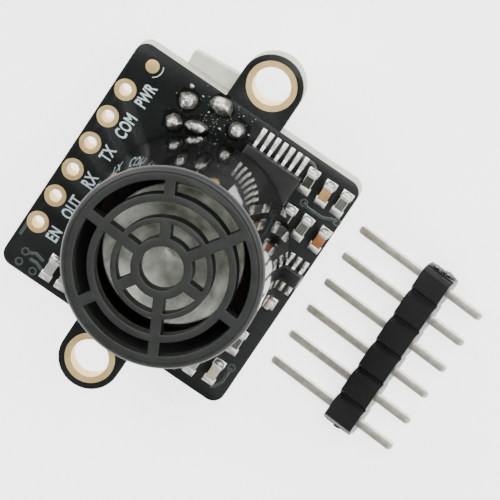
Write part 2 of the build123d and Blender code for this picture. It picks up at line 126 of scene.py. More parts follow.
@dataclass(frozen=True)
class Finish:
    """A real surface: colour that drifts a little, gloss that drifts a little, and a fine grain."""

    name: str
    colour: str
    drift_colour: str
    drift_mm: float = 1.0
    grain_mm: float = 0.1
    relief: float = 0.15
    rough: float = 0.5
    rough_spread: float = 0.08
    metallic: float = 0.0
    ior: float = 1.5
    coat: float = 0.0
    gleam: float = 0.5
    slot: str = ""

    def pattern(self, tree: bpy.types.NodeTree,
                place: bpy.types.NodeSocket) -> bpy.types.NodeSocket:
        """Give the zero-to-one pattern that mixes the two colours.

        Args:
            tree: the material's node tree.
            place: object coordinates in metres.

        Returns:
            The pattern's output socket.
        """
        cloud = add_node(tree, "ShaderNodeTexNoise", None,
                         {"Vector": place, "Scale": 1 / (self.drift_mm * MM), "Detail": 4.0})
        spread = add_node(tree, "ShaderNodeMapRange", None,
                          {"Value": cloud.outputs["Fac"], "From Min": NOISE_LOW,
                           "From Max": NOISE_HIGH})
        return spread.outputs["Result"]

    def height(self, tree: bpy.types.NodeTree,
               place: bpy.types.NodeSocket) -> bpy.types.NodeSocket:
        """Give the relief that the bump reads: a fine even grain.

        Args:
            tree: the material's node tree.
            place: object coordinates in metres.

        Returns:
            The relief's output socket.
        """
        grain = add_node(tree, "ShaderNodeTexNoise", None,
                         {"Vector": place, "Scale": 1 / (self.grain_mm * MM), "Detail": 3.0})
        return grain.outputs["Fac"]

    def material(self) -> bpy.types.Material:
        """Build this finish's material, once.

        Returns:
            The material.
        """
        made = bpy.data.materials.get(self.name)
        if made:
            return made
        made = bpy.data.materials.new(self.name)
        made.use_nodes = True
        tree = made.node_tree
        shader = tree.nodes["Principled BSDF"]
        place = add_node(tree, "ShaderNodeTexCoord").outputs["Object"]
        mix = add_node(tree, "ShaderNodeMix", {"data_type": "RGBA"},
                       {"Factor": self.pattern(tree, place),
                        MIX_A: linear_colour(self.colour),
                        MIX_B: linear_colour(self.drift_colour)})
        relief = self.height(tree, place)
        gloss = add_node(tree, "ShaderNodeMapRange", None,
                         {"Value": relief, "From Min": NOISE_LOW, "From Max": NOISE_HIGH,
                          "To Min": max(self.rough - self.rough_spread, 0.02),
                          "To Max": self.rough + self.rough_spread})
        bump = add_node(tree, "ShaderNodeBump", None,
                        {"Height": relief, "Strength": self.relief,
                         "Distance": self.grain_mm * MM / 2})
        tree.links.new(mix.outputs[MIX_RESULT], shader.inputs["Base Color"])
        tree.links.new(gloss.outputs["Result"], shader.inputs["Roughness"])
        tree.links.new(bump.outputs["Normal"], shader.inputs["Normal"])
        shader.inputs["Metallic"].default_value = self.metallic
        shader.inputs["Coat Weight"].default_value = self.coat
        shader.inputs["Specular IOR Level"].default_value = self.gleam
        if self.metallic < 1:
            shader.inputs["IOR"].default_value = self.ior
        self.extras(tree, shader)
        return made

    def extras(self, tree: bpy.types.NodeTree, shader: bpy.types.Node) -> None:
        """Leave the shader as it is; a finish with more to it says so here."""


@dataclass(frozen=True)
class LayeredLaminate(Finish):
    """Glass cloth in resin, cut across: thin pale layers stacked through the thickness."""

    ply_mm: float = 0.18
    stretch: float = 9.0

    def pattern(self, tree: bpy.types.NodeTree,
                place: bpy.types.NodeSocket) -> bpy.types.NodeSocket:
        """Give fibre streaks that run along the cut and change from ply to ply.

        Args:
            tree: the material's node tree.
            place: object coordinates in metres.

        Returns:
            The pattern's output socket.
        """
        flat = add_node(tree, "ShaderNodeMapping", None,
                        {"Vector": place, "Scale": (1.0, 1.0, self.stretch)})
        streaks = add_node(tree, "ShaderNodeTexNoise", None,
                           {"Vector": flat.outputs["Vector"],
                            "Scale": 1 / (self.ply_mm * self.stretch * MM), "Detail": 5.0})
        spread = add_node(tree, "ShaderNodeMapRange", None,
                          {"Value": streaks.outputs["Fac"], "From Min": 0.35, "From Max": 0.65})
        return spread.outputs["Result"]


@dataclass(frozen=True)
class WoundTape(Finish):
    """Polyester tape over wire: the turns beneath show as even ridges."""

    turn_mm: float = 0.22
    askew_deg: float = 0.0

    def height(self, tree: bpy.types.NodeTree,
               place: bpy.types.NodeSocket) -> bpy.types.NodeSocket:
        """Give ridges side by side along the winding's own axis.

        Args:
            tree: the material's node tree.
            place: object coordinates in metres.

        Returns:
            The relief's output socket.
        """
        along = add_node(tree, "ShaderNodeMapping", None,
                         {"Vector": place, "Rotation": (0.0, 0.0, -math.radians(self.askew_deg))})
        # A band texture at scale 1 repeats every 0.31 of a unit.
        ridges = add_node(tree, "ShaderNodeTexWave", {"wave_type": "BANDS", "bands_direction": "Y"},
                          {"Vector": along.outputs["Vector"], "Scale": 0.31 / (self.turn_mm * MM),
                           "Distortion": 0.4})
        return ridges.outputs["Fac"]


@dataclass(frozen=True)
class ClearFlux(Finish):
    """Rosin left after soldering: a thin amber gloss that darkens what is under it."""

    cover: float = 0.45

    def extras(self, tree: bpy.types.NodeTree, shader: bpy.types.Node) -> None:
        """Let most of the board show through."""
        shader.inputs["Alpha"].default_value = self.cover


@dataclass(frozen=True)
class GlowingSheet(Finish):
    """White sheet on a light table."""

    glow: float = 2.3

    def extras(self, tree: bpy.types.NodeTree, shader: bpy.types.Node) -> None:
        """Let the sheet give off an even light."""
        shader.inputs["Emission Color"].default_value = WHITE
        shader.inputs["Emission Strength"].default_value = self.glow


# After its name and its two colours each finish gives, in millimetres, how far apart its
# colour drifts and how coarse its grain is, then its relief, its roughness and how much
# that varies, and for a metal how metallic it is.
# Screen-applied epoxy over copper and glass cloth: near black, a hint of green, soft gloss.
SOLDER_MASK = Finish("solder_mask_black", "090D0B", "0F1512", 2.4, 0.16, 0.08, 0.33, 0.06,
                     slot="solder_mask")
# Mask over copper: smoother, and lighter, partly from the copper beneath and partly as painted
# highlight of lit trace edges.
COPPER_MASK_PAINTED_HIGHLIGHT = Finish("mask_over_copper_painted_highlight", "343C38", "424B46", 1.2, 0.16, 0.06, 0.34, 0.05,
                          slot="solder_mask")
# Routed edge of the board: cream resin with glass plies.
BOARD_CORE = LayeredLaminate("board_core_laminate", "C6C6B6", "A9AA98", 1.0, 0.05, 0.25, 0.62,
                             0.08, slot="solder_mask")
# Electroless nickel under flash gold: pale, warm and satin.
GOLD_PLATE = Finish("flash_gold_plate", "F9DFA6", "EFCB88", 0.7, 0.04, 0.06, 0.50, 0.07, 1.0,
                    slot="gold_plating")
# White epoxy legend ink, screened: chalky, a little thin in places.
LEGEND_INK = Finish("legend_ink", "C9D8DC", "A9BBC1", 0.5, 0.05, 0.12, 0.62, 0.06,
                    slot="solder_mask")
# Moulded can wall: polished tool, mirror-like black with the faintest flow waviness.
POLISHED_CAN = Finish("polished_black_can", "060706", "0A0C0A", 3.0, 1.2, 0.010, 0.05, 0.015,
                      gleam=0.32, slot="black_can_plastic")
# Grille face of the same plastic: spark-eroded tool, dark grey and matt.
MATT_GRILLE = Finish("matt_moulded_grille", "121512", "1C201C", 1.2, 0.07, 0.35, 0.50, 0.10,
                     slot="black_can_plastic")
# Inside of the can, as moulded: dull black.
CAN_LINING = Finish("can_lining", "0A0A0B", "121314", 1.5, 0.10, 0.20, 0.60, 0.08,
                    slot="black_can_plastic")
# Paper laminate of the base plate: brown and dull.
BASE_LAMINATE = Finish("base_paper_laminate", "2A2119", "362A20", 0.8, 0.10, 0.20, 0.60, 0.08,
                       slot="base_laminate")
# Cast silicone: milky, soft sheen.
SILICONE = Finish("milky_silicone", "C9C6BC", "B7B4AA", 0.9, 0.12, 0.12, 0.42, 0.06, ior=1.41,
                  slot="silicone_rubber")
# Rolled metal diaphragm: satin with a warm cast.
DIAPHRAGM_METAL = Finish("diaphragm_metal", "B4AFA4", "9D988C", 1.0, 0.08, 0.15, 0.38, 0.08, 1.0,
                         slot="vibrator_metal")
# Thin spun aluminium: near white, with large grey blotches.
HORN_ALUMINIUM = Finish("spun_horn_aluminium", "F2F4E8", "8C9284", 1.5, 0.6, 0.06, 0.42, 0.08,
                        0.45, slot="cone_aluminium")
# Silvered face of the piezo disc: fired paste, pale and satin.
PIEZO_SILVER = Finish("piezo_silver_face", "CFCBBE", "B9B4A4", 0.6, 0.05, 0.20, 0.48, 0.08, 0.6,
                      slot="piezo_ceramic")
# Tin over copper alloy: bright, slightly clouded.
TIN_PLATE = Finish("bright_tin_plate", "EDEDE8", "DADAD4", 0.35, 0.05, 0.05, 0.50, 0.06, 1.0,
                   slot="tinned_metal")
# Hand solder: flowed, mirror-bright with dull freckles.
SOLDER = Finish("flowed_solder", "DEDED8", "9C9C94", 0.35, 0.14, 0.22, 0.38, 0.08, 1.0,
                slot="solder")
# Oven-flowed solder of the small parts: smooth and even.
REFLOW_SOLDER = Finish("reflow_solder", "E6E6E1", "D2D2CC", 0.4, 0.10, 0.08, 0.44, 0.06, 1.0,
                       slot="solder")
# Thin wire in a dyed sleeve: even and slightly glossy.
RED_WIRE = Finish("red_wire_sleeve", "8E2018", "701A14", 0.5, 0.05, 0.10, 0.40, 0.05,
                  slot="lead_wire")
# Enamelled copper wire: warm metal under a clear gloss.
COPPER_WIRE = Finish("enamelled_copper_wire", "B8672E", "9C5322", 0.4, 0.03, 0.08, 0.28, 0.06, 1.0,
                     slot="winding_tape")
# Transformer bobbin: glass-filled nylon, ivory and dry.
IVORY_NYLON = Finish("ivory_nylon", "CDCFC0", "BFC1B0", 0.9, 0.06, 0.18, 0.50, 0.07, ior=1.53,
                     slot="ivory_plastic")
# Sintered ferrite: dark grey, gritty.
FERRITE = Finish("sintered_ferrite", "2C2C2E", "3A3A3C", 0.25, 0.06, 0.45, 0.72, 0.10,
                 slot="ferrite")
# Black moulded base of the storage capacitor: plain and satin.
BASE_PLASTIC = Finish("black_base_plastic", "141414", "1D1D1D", 0.7, 0.05, 0.20, 0.48, 0.08,
                      slot="black_base_plastic")
# Drawn bare aluminium of the capacitor's can: bright and smooth.
DRAWN_ALUMINIUM = Finish("drawn_aluminium", "C9CACC", "B4B5B7", 1.2, 0.06, 0.12, 0.30, 0.08, 1.0,
                         slot="capacitor_aluminium")
# Black ink on the capacitor, flat and even.
POLARITY_INK = Finish("polarity_ink", "17181B", "1F2023", 0.6, 0.05, 0.10, 0.45, 0.06,
                      slot="capacitor_aluminium")
# Transfer-moulded epoxy of the chips: charcoal with a fine blasted texture.
CHIP_EPOXY = Finish("moulded_chip_epoxy", "0A0C0A", "10130F", 0.8, 0.05, 0.25, 0.38, 0.05,
                    ior=1.55, slot="chip_epoxy")
# Glass coats of chip resistors, which differ by value and maker: smooth and glossy.
RESISTOR_GLASS = Finish("resistor_glass_coat", "282A24", "383A32", 0.3, 0.04, 0.10, 0.25, 0.08,
                        slot="resistor_film")
RESISTOR_GREY = Finish("resistor_grey_coat", "5C6258", "4A5048", 0.3, 0.04, 0.10, 0.30, 0.08,
                       slot="resistor_film")
RESISTOR_PALE = Finish("resistor_pale_coat", "A9AA9F", "8E9086", 0.3, 0.04, 0.10, 0.28, 0.08,
                       slot="resistor_film")
# Fired white alumina that carries the resistor film: dry and matt.
ALUMINA = Finish("white_alumina", "C9C8C2", "B8B7B0", 0.3, 0.04, 0.20, 0.55, 0.06,
                 slot="resistor_film")
# Fired dielectric of a chip capacitor: tan, some fired redder than others.
TAN_CERAMIC = Finish("tan_capacitor_ceramic", "A98555", "8D6A41", 0.4, 0.04, 0.18, 0.45, 0.08,
                     slot="capacitor_ceramic")
PALE_CERAMIC = Finish("pale_capacitor_ceramic", "C2B5A3", "A8977F", 0.4, 0.04, 0.18, 0.45, 0.08,
                      slot="capacitor_ceramic")
RED_CERAMIC = Finish("rust_capacitor_ceramic", "9C5F33", "7E4A26", 0.4, 0.04, 0.18, 0.45, 0.08,
                     slot="capacitor_ceramic")
# Pin header moulding: black nylon with fine mould texture.
HEADER_NYLON = Finish("black_header_nylon", "030505", "070909", 0.9, 0.06, 0.25, 0.40, 0.06,
                      ior=1.53, slot="header_plastic")
# The same nylon where it was snapped off: stretched and shiny.
TORN_NYLON = Finish("torn_header_nylon", "0A0C0C", "161A1A", 0.4, 0.10, 0.60, 0.30, 0.10, ior=1.53,
                    slot="header_plastic")
# Drawn brass pins under dull tin, warm grey with draw marks.
PIN_TIN = Finish("drawn_pin_tin", "E4E1D6", "C6C2B4", 0.5, 0.06, 0.20, 0.42, 0.08, 1.0,
                 slot="header_pin_metal")
# Sheared pin ends: darker metal, rough from the cut.
SHEARED_METAL = Finish("sheared_pin_end", "3A3731", "201F1B", 0.2, 0.05, 0.40, 0.55, 0.10, 0.8,
                       slot="header_pin_metal")
# Flux that dried to a whitish crust.
DRIED_FLUX = Finish("dried_flux_crust", "B9BCB2", "8C8F86", 0.2, 0.05, 0.20, 0.60, 0.08,
                    slot="solder")
# Flux that stayed clear round the joints.
FLUX = ClearFlux("rosin_residue", "0D0F0C", "161711", 0.5, 0.20, 0.20, 0.24, 0.08, slot="solder")
# The floor: a white sheet lit from below as well.
FLOOR_SHEET = GlowingSheet("floor_sheet", "FCFCFB", "FAFAF9", 60.0, 0.4, 0.02, 0.85, 0.03)


# --------------------------------------------------------------------------- places
@dataclass(frozen=True)
class Solid:
    """The box of one separate solid of a node, in millimetres."""

    low: Vector
    high: Vector

    @property
    def centre(self) -> Vector:
        """Middle of the box."""
        return (self.low + self.high) / 2

    @property
    def size(self) -> Vector:
        """Lengths of the box's sides."""
        return self.high - self.low

    @property
    def foot(self) -> Matrix:
        """Placing at the middle of the box's underside."""
        return at(self.centre.x, self.centre.y, self.low.z)


def node_box(node: str) -> Solid:
    """Give a whole node's box in millimetres."""
    low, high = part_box(node)
    return Solid(low / MM, high / MM)


def solids_of(node: str) -> list[Solid]:
    """Find the separate solids of a node.

    Args:
        node: the CAD node's name.

    Returns:
        One box for each solid, sorted by Y and then X.
    """
    mesh = bmesh.new()
    mesh.from_mesh(frame["nodes"][node].data)
    bmesh.ops.scale(mesh, vec=Vector((1, 1, 1)) / MM, verts=mesh.verts)
    bmesh.ops.remove_doubles(mesh, verts=mesh.verts, dist=WELD * 10)
    left = set(mesh.verts)
    found: list[Solid] = []
    while left:
        front = [left.pop()]
        island = list(front)
        while front:
            vertex = front.pop()
            for edge in vertex.link_edges:
                other = edge.other_vert(vertex)
                if other in left:
                    left.discard(other)
                    front.append(other)
                    island.append(other)
        low = Vector([min(v.co[i] for v in island) for i in range(3)])
        high = Vector([max(v.co[i] for v in island) for i in range(3)])
        found.append(Solid(low, high))
    mesh.free()
    return sorted(found, key=lambda s: (round(s.centre.y, 2), round(s.centre.x, 2)))


def at(x: float = 0.0, y: float = 0.0, z: float = 0.0, turn: float = 0.0,
       flip: bool = False) -> Matrix:
    """Give the placing of a part.

    Args:
        x: place along X in millimetres.
        y: place along Y in millimetres.
        z: height of the part's seat in millimetres.
        turn: turn about Z in degrees.
        flip: True for a part on the back of the board, which hangs below its seat.

    Returns:
        The matrix that carries the part to its place.
    """
    placed = Matrix.Translation((x, y, z)) @ Matrix.Rotation(math.radians(turn), 4, "Z")
    return placed @ Matrix.Rotation(math.pi, 4, "Y") if flip else placed


def towards(direction: float, height: float) -> Vector:
    """Give the way from the middle of the scene to something round it.

    Args:
        direction: turn from +X towards +Y in degrees.
        height: angle above the horizon in degrees.

    Returns:
        The unit vector.
    """
    flat, rise = math.radians(direction), math.radians(height)
    return Vector((math.cos(flat) * math.cos(rise), math.sin(flat) * math.cos(rise),
                   math.sin(rise)))


def arc(centre: Point2, radius: float, start: float, end: float, steps: int) -> list[Point2]:
    """Give points along an arc.

    Args:
        centre: the arc's centre.
        radius: its radius.
        start: first angle in degrees.
        end: last angle in degrees.
        steps: number of chords.

    Returns:
        The points, both ends included.
    """
    angles = [math.radians(start + (end - start) * i / steps) for i in range(steps + 1)]
    return [(centre[0] + radius * math.cos(a), centre[1] + radius * math.sin(a)) for a in angles]


def circle(centre: Point2, radius: float, steps: int = 48) -> list[Point2]:
    """Give a closed ring of points without a repeated end."""
    return arc(centre, radius, 0, 360, steps)[:-1]


def rounded_rectangle(size_x: float, size_y: float, radius: float) -> list[Point2]:
    """Give a rectangle with rounded corners, centred on the origin.

    Args:
        size_x: its length along X.
        size_y: its length along Y.
        radius: radius of its corners.

    Returns:
        The closed ring of points, without a repeated end.
    """
    x, y = size_x / 2 - radius, size_y / 2 - radius
    corners = [((x, y), 0), ((-x, y), 90), ((-x, -y), 180), ((x, -y), 270)]
    return [p for centre, start in corners for p in arc(centre, radius, start, start + 90, 5)]


class Carrier(Enum):
    """The frame's two bodies."""

    SENSOR = "sensor"
    LOOSE_HEADER = "loose_header"


class Side(Enum):
    """The two faces of the board."""

    FRONT = "front"
    BACK = "back"

    def seat(self, board: "CircuitBoard") -> float:
        """Give the height of this face."""
        return board.front_z if self is Side.FRONT else board.back_z

    def place(self, board: "CircuitBoard", x: float, y: float,
              turn: float = 0.0) -> Matrix:
        """Give the placing of a part that stands on this face."""
        return at(x, y, self.seat(board), turn, flip=self is Side.BACK)


# --------------------------------------------------------------------------- shapes
def round_edges(part: bmesh.types.BMesh, edges: Sequence[bmesh.types.BMEdge], width: float,
                segments: int) -> None:
    """Bevel some of a part's edges."""
    bmesh.ops.bevel(part, geom=edges, offset=width, segments=segments, profile=0.5,
                    affect="EDGES", material=-1)


def turned(profile: Sequence[Point2], steps: int, closed: bool) -> bmesh.types.BMesh:
    """Turn a section about Z.

    Args:
        profile: radius and height of each corner of the section.
        steps: flats round the part.
        closed: True if the section closes on itself away from the axis.

    Returns:
        The new part.
    """
    part = bmesh.new()
    verts = [part.verts.new((r, 0, z)) for r, z in profile]
    pairs = list(zip(verts, verts[1:]))
    if closed:
        pairs.append((verts[-1], verts[0]))
    edges = [part.edges.new(pair) for pair in pairs]
    bmesh.ops.spin(part, geom=verts + edges, cent=(0, 0, 0), axis=(0, 0, 1), dvec=(0, 0, 0),
                   angle=FULL_TURN, steps=steps, use_merge=True, use_duplicate=False)
    bmesh.ops.remove_doubles(part, verts=part.verts, dist=WELD)
    return part


def add_line(curve: bpy.types.Curve, points: Sequence[Point2], closed: bool) -> None:
    """Add a run of straight chords to a curve.

    Args:
        curve: the curve that takes it.
        points: its corners.
        closed: True if it runs back to its start.
    """
    spline = curve.splines.new("POLY")
    spline.points.add(len(points) - 1)
    for target, (x, y) in zip(spline.points, points):
        target.co = (x, y, 0, 1)
    spline.use_cyclic_u = closed


class Shape:
    """One mesh under construction, in millimetres."""

    def __init__(self) -> None:
        """Start empty."""
        self.bm = bmesh.new()

    def absorb(self, part: bmesh.types.BMesh, place: Matrix, skin: int | None = 0) -> None:
        """Add a finished part to this shape.

        Args:
            part: the part, which is used up.
            place: where it goes.
            skin: number of its finish, or None to keep its faces' own.
        """
        bmesh.ops.transform(part, matrix=place, verts=part.verts)
        for face in part.faces:
            face.smooth = True
            if skin is not None:
                face.material_index = skin
        bmesh.ops.recalc_face_normals(part, faces=part.faces)
        carrier = bpy.data.meshes.new("part")
        part.to_mesh(carrier)
        part.free()
        self.bm.from_mesh(carrier)
        bpy.data.meshes.remove(carrier)

    def box(self, size: Sequence[float], place: Matrix, bevel: float = 0.0, segments: int = 2,
            skin: int = 0, taper: float = 0.0) -> None:
        """Add a box that stands on its seat.

        Args:
            size: lengths along X, Y and Z.
            place: where the middle of its foot goes.
            bevel: width of the rounding on its edges.
            segments: steps of the rounding.
            skin: number of its finish.
            taper: how much the top is narrower on each side.
        """
        part = bmesh.new()
        verts = bmesh.ops.create_cube(part, size=1.0)["verts"]
        bmesh.ops.translate(part, vec=(0, 0, 0.5), verts=verts)
        bmesh.ops.scale(part, vec=size, verts=verts)
        if taper:
            top = [v for v in part.verts if v.co.z > size[2] / 2]
            shrink = (1 - 2 * taper / size[0], 1 - 2 * taper / size[1], 1)
            bmesh.ops.scale(part, vec=shrink, verts=top)
        if bevel:
            round_edges(part, part.edges[:], bevel, segments)
        self.absorb(part, place, skin)

    def rod(self, radius: float, height: float, place: Matrix, bevel: float = 0.0,
            skin: int = 0, steps: int = 32, top_radius: float | None = None) -> None:
        """Add a round bar that stands on its seat.

        Args:
            radius: radius of its foot.
            height: its length.
            place: where the middle of its foot goes.
            bevel: rounding of its two rims.
            skin: number of its finish.
            steps: flats round it.
            top_radius: radius of its top, if that differs.
        """
        part = bmesh.new()
        bmesh.ops.create_cone(part, cap_ends=True, segments=steps, radius1=radius,
                              radius2=radius if top_radius is None else top_radius, depth=height)
        bmesh.ops.translate(part, vec=(0, 0, height / 2), verts=part.verts)
        if bevel:
            rims = [e for e in part.edges if abs(e.verts[0].co.z - e.verts[1].co.z) < WELD]
            round_edges(part, rims, bevel, 3)
        self.absorb(part, place, skin)

    def lathe(self, profile: Sequence[Point2], place: Matrix, steps: int = 96,
              skin: int = 0) -> None:
        """Add a turned part.

        Args:
            profile: radius and height of each corner of its section.
            place: where its axis stands.
            steps: flats round it.
            skin: number of its finish.
        """
        self.absorb(turned(profile, steps, closed=True), place, skin)

    def plate(self, outlines: Sequence[Sequence[Point2]], low: float, high: float,
              place: Matrix, bevel: float = 0.0, segments: int = 1, skin: int = 0) -> None:
        """Add a flat plate; an outline inside another is a hole.

        Args:
            outlines: closed rings of points.
            low: height of its underside.
            high: height of its top.
            place: where its origin goes.
            bevel: rounding of its edges.
            segments: steps of the rounding.
            skin: number of its finish.
        """
        curve = bpy.data.curves.new("outline", "CURVE")
        curve.dimensions = "2D"
        curve.fill_mode = "BOTH"
        for points in outlines:
            add_line(curve, points, closed=True)
        curve.extrude = (high - low) / 2 - bevel
        curve.bevel_depth = bevel
        curve.bevel_resolution = segments
        curve.offset = -bevel
        self._absorb_curve(curve, place @ at(z=(low + high) / 2), skin)

    def lettering(self, words: str, height: float, thick: float, weight: float, squeeze: float,
                  place: Matrix) -> None:
        """Add flat letters, centred on their place.

        Args:
            words: what they say.
            height: size of the type.
            thick: thickness of the ink.
            weight: how far each stroke is widened.
            squeeze: width of the letters as a share of the type's own.
            place: where their middle goes.
        """
        curve = bpy.data.curves.new("letters", "FONT")
        curve.body = words
        curve.size = height
        curve.align_x = "CENTER"
        curve.align_y = "CENTER"
        curve.extrude = thick / 2
        curve.offset = weight
        curve.space_character = LETTER_SPACING
        narrow = Matrix.Diagonal((squeeze, 1, 1, 1))
        self._absorb_curve(curve, place @ at(z=thick / 2) @ narrow, 0)

    def _absorb_curve(self, curve: bpy.types.Curve, place: Matrix, skin: int) -> None:
        """Turn a curve into mesh and add it.

        Args:
            curve: the curve, which is used up.
            place: where it goes.
            skin: number of its finish.
        """
        carrier = bpy.data.objects.new("outline", curve)
        bpy.context.scene.collection.objects.link(carrier)
        bpy.context.view_layer.update()
        mesh = bpy.data.meshes.new_from_object(carrier)
        part = bmesh.new()
        part.from_mesh(mesh)
        bmesh.ops.remove_doubles(part, verts=part.verts, dist=WELD)
        bpy.data.objects.remove(carrier)
        bpy.data.curves.remove(curve)
        bpy.data.meshes.remove(mesh)
        self.absorb(part, place, skin)

    def ribbon(self, path: Sequence[Point2], width: float, thick: float,
               place: Matrix) -> None:
        """Add a bent strip of metal.

        Args:
            path: its middle line, as Y and Z.
            width: its width along X.
            thick: its thickness.
            place: where its origin goes.
        """
        part = bmesh.new()
        verts = [part.verts.new((-width / 2, y, z)) for y, z in path]
        edges = [part.edges.new(pair) for pair in zip(verts, verts[1:])]
        grown = bmesh.ops.extrude_edge_only(part, edges=edges)["geom"]
        fresh = [v for v in grown if isinstance(v, bmesh.types.BMVert)]
        bmesh.ops.translate(part, vec=(width, 0, 0), verts=fresh)
        bmesh.ops.recalc_face_normals(part, faces=part.faces)
        bmesh.ops.solidify(part, geom=part.faces[:], thickness=thick)
        bmesh.ops.remove_doubles(part, verts=part.verts, dist=WELD)
        low_z = min(v.co.z for v in part.verts)
        bmesh.ops.translate(part, vec=(0, 0, -low_z), verts=part.verts)
        self.absorb(part, place)

    def bead(self, path: Sequence[Point2], width: float, rise: float, place: Matrix,
             closed: bool = False) -> None:
        """Add a low rounded line of even width, half sunk into its seat.

        Args:
            path: its middle line.
            width: its width.
            rise: its height above the seat.
            place: where its origin goes.
            closed: True if it runs back to its start.
        """
        curve = bpy.data.curves.new("line", "CURVE")
        curve.dimensions = "3D"
        add_line(curve, path, closed)
        curve.bevel_depth = width / 2
        curve.bevel_resolution = 3
        curve.use_fill_caps = True
        self._absorb_curve(curve, place @ Matrix.Diagonal((1, 1, 2 * rise / width, 1)), 0)

    def blob(self, size: Sequence[float], place: Matrix, lumps: float, seed: float,
             detail: int = 3) -> None:
        """Add a drop that sits flat on its seat.

        Args:
            size: its spread along X and Y, and its height.
            place: where the middle of its foot goes.
            lumps: how uneven it is.
            seed: which unevenness it has.
            detail: subdivisions of the drop.
        """
        part = bmesh.new()
        bmesh.ops.create_icosphere(part, subdivisions=detail, radius=0.5)
        for vertex in part.verts:
            vertex.co *= 1 + lumps * noise.noise(vertex.co * 4 + Vector((seed, seed * 0.7, 1.3)))
        bmesh.ops.scale(part, vec=(size[0], size[1], 2 * size[2]), verts=part.verts)
        every = part.verts[:] + part.edges[:] + part.faces[:]
        bmesh.ops.bisect_plane(part, geom=every, plane_co=(0, 0, 0), plane_no=(0, 0, 1),
                               clear_inner=True)
        rim = [e for e in part.edges if e.is_boundary]
        bmesh.ops.contextual_create(part, geom=rim)
        self.absorb(part, place)

    def piece(self, name: str, finishes: Sequence[Finish], replaces: Sequence[str] = (),
              body: Carrier = Carrier.SENSOR, sharp: float = 32.0) -> None:
        """Make the object, hang it on its body and hide the CAD nodes that it stands for.

        Args:
            name: the piece's name.
            finishes: its finishes in the order of its skins.
            replaces: the CAD nodes that it stands for.
            body: the CAD body that carries it.
            sharp: angle above which an edge stays crisp, in degrees.
        """
        bmesh.ops.scale(self.bm, vec=(MM, MM, MM), verts=self.bm.verts)
        mesh = bpy.data.meshes.new(name)
        self.bm.to_mesh(mesh)
        self.bm.free()
        mesh.set_sharp_from_angle(angle=math.radians(sharp))
        for finish in finishes:
            mesh.materials.append(finish.material())
        made = bpy.data.objects.new(name, mesh)
        bpy.context.scene.collection.objects.link(made)
        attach(made, body.value)
        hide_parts(*replaces)
        LOG.info("%s: %d faces", name, len(mesh.polygons))


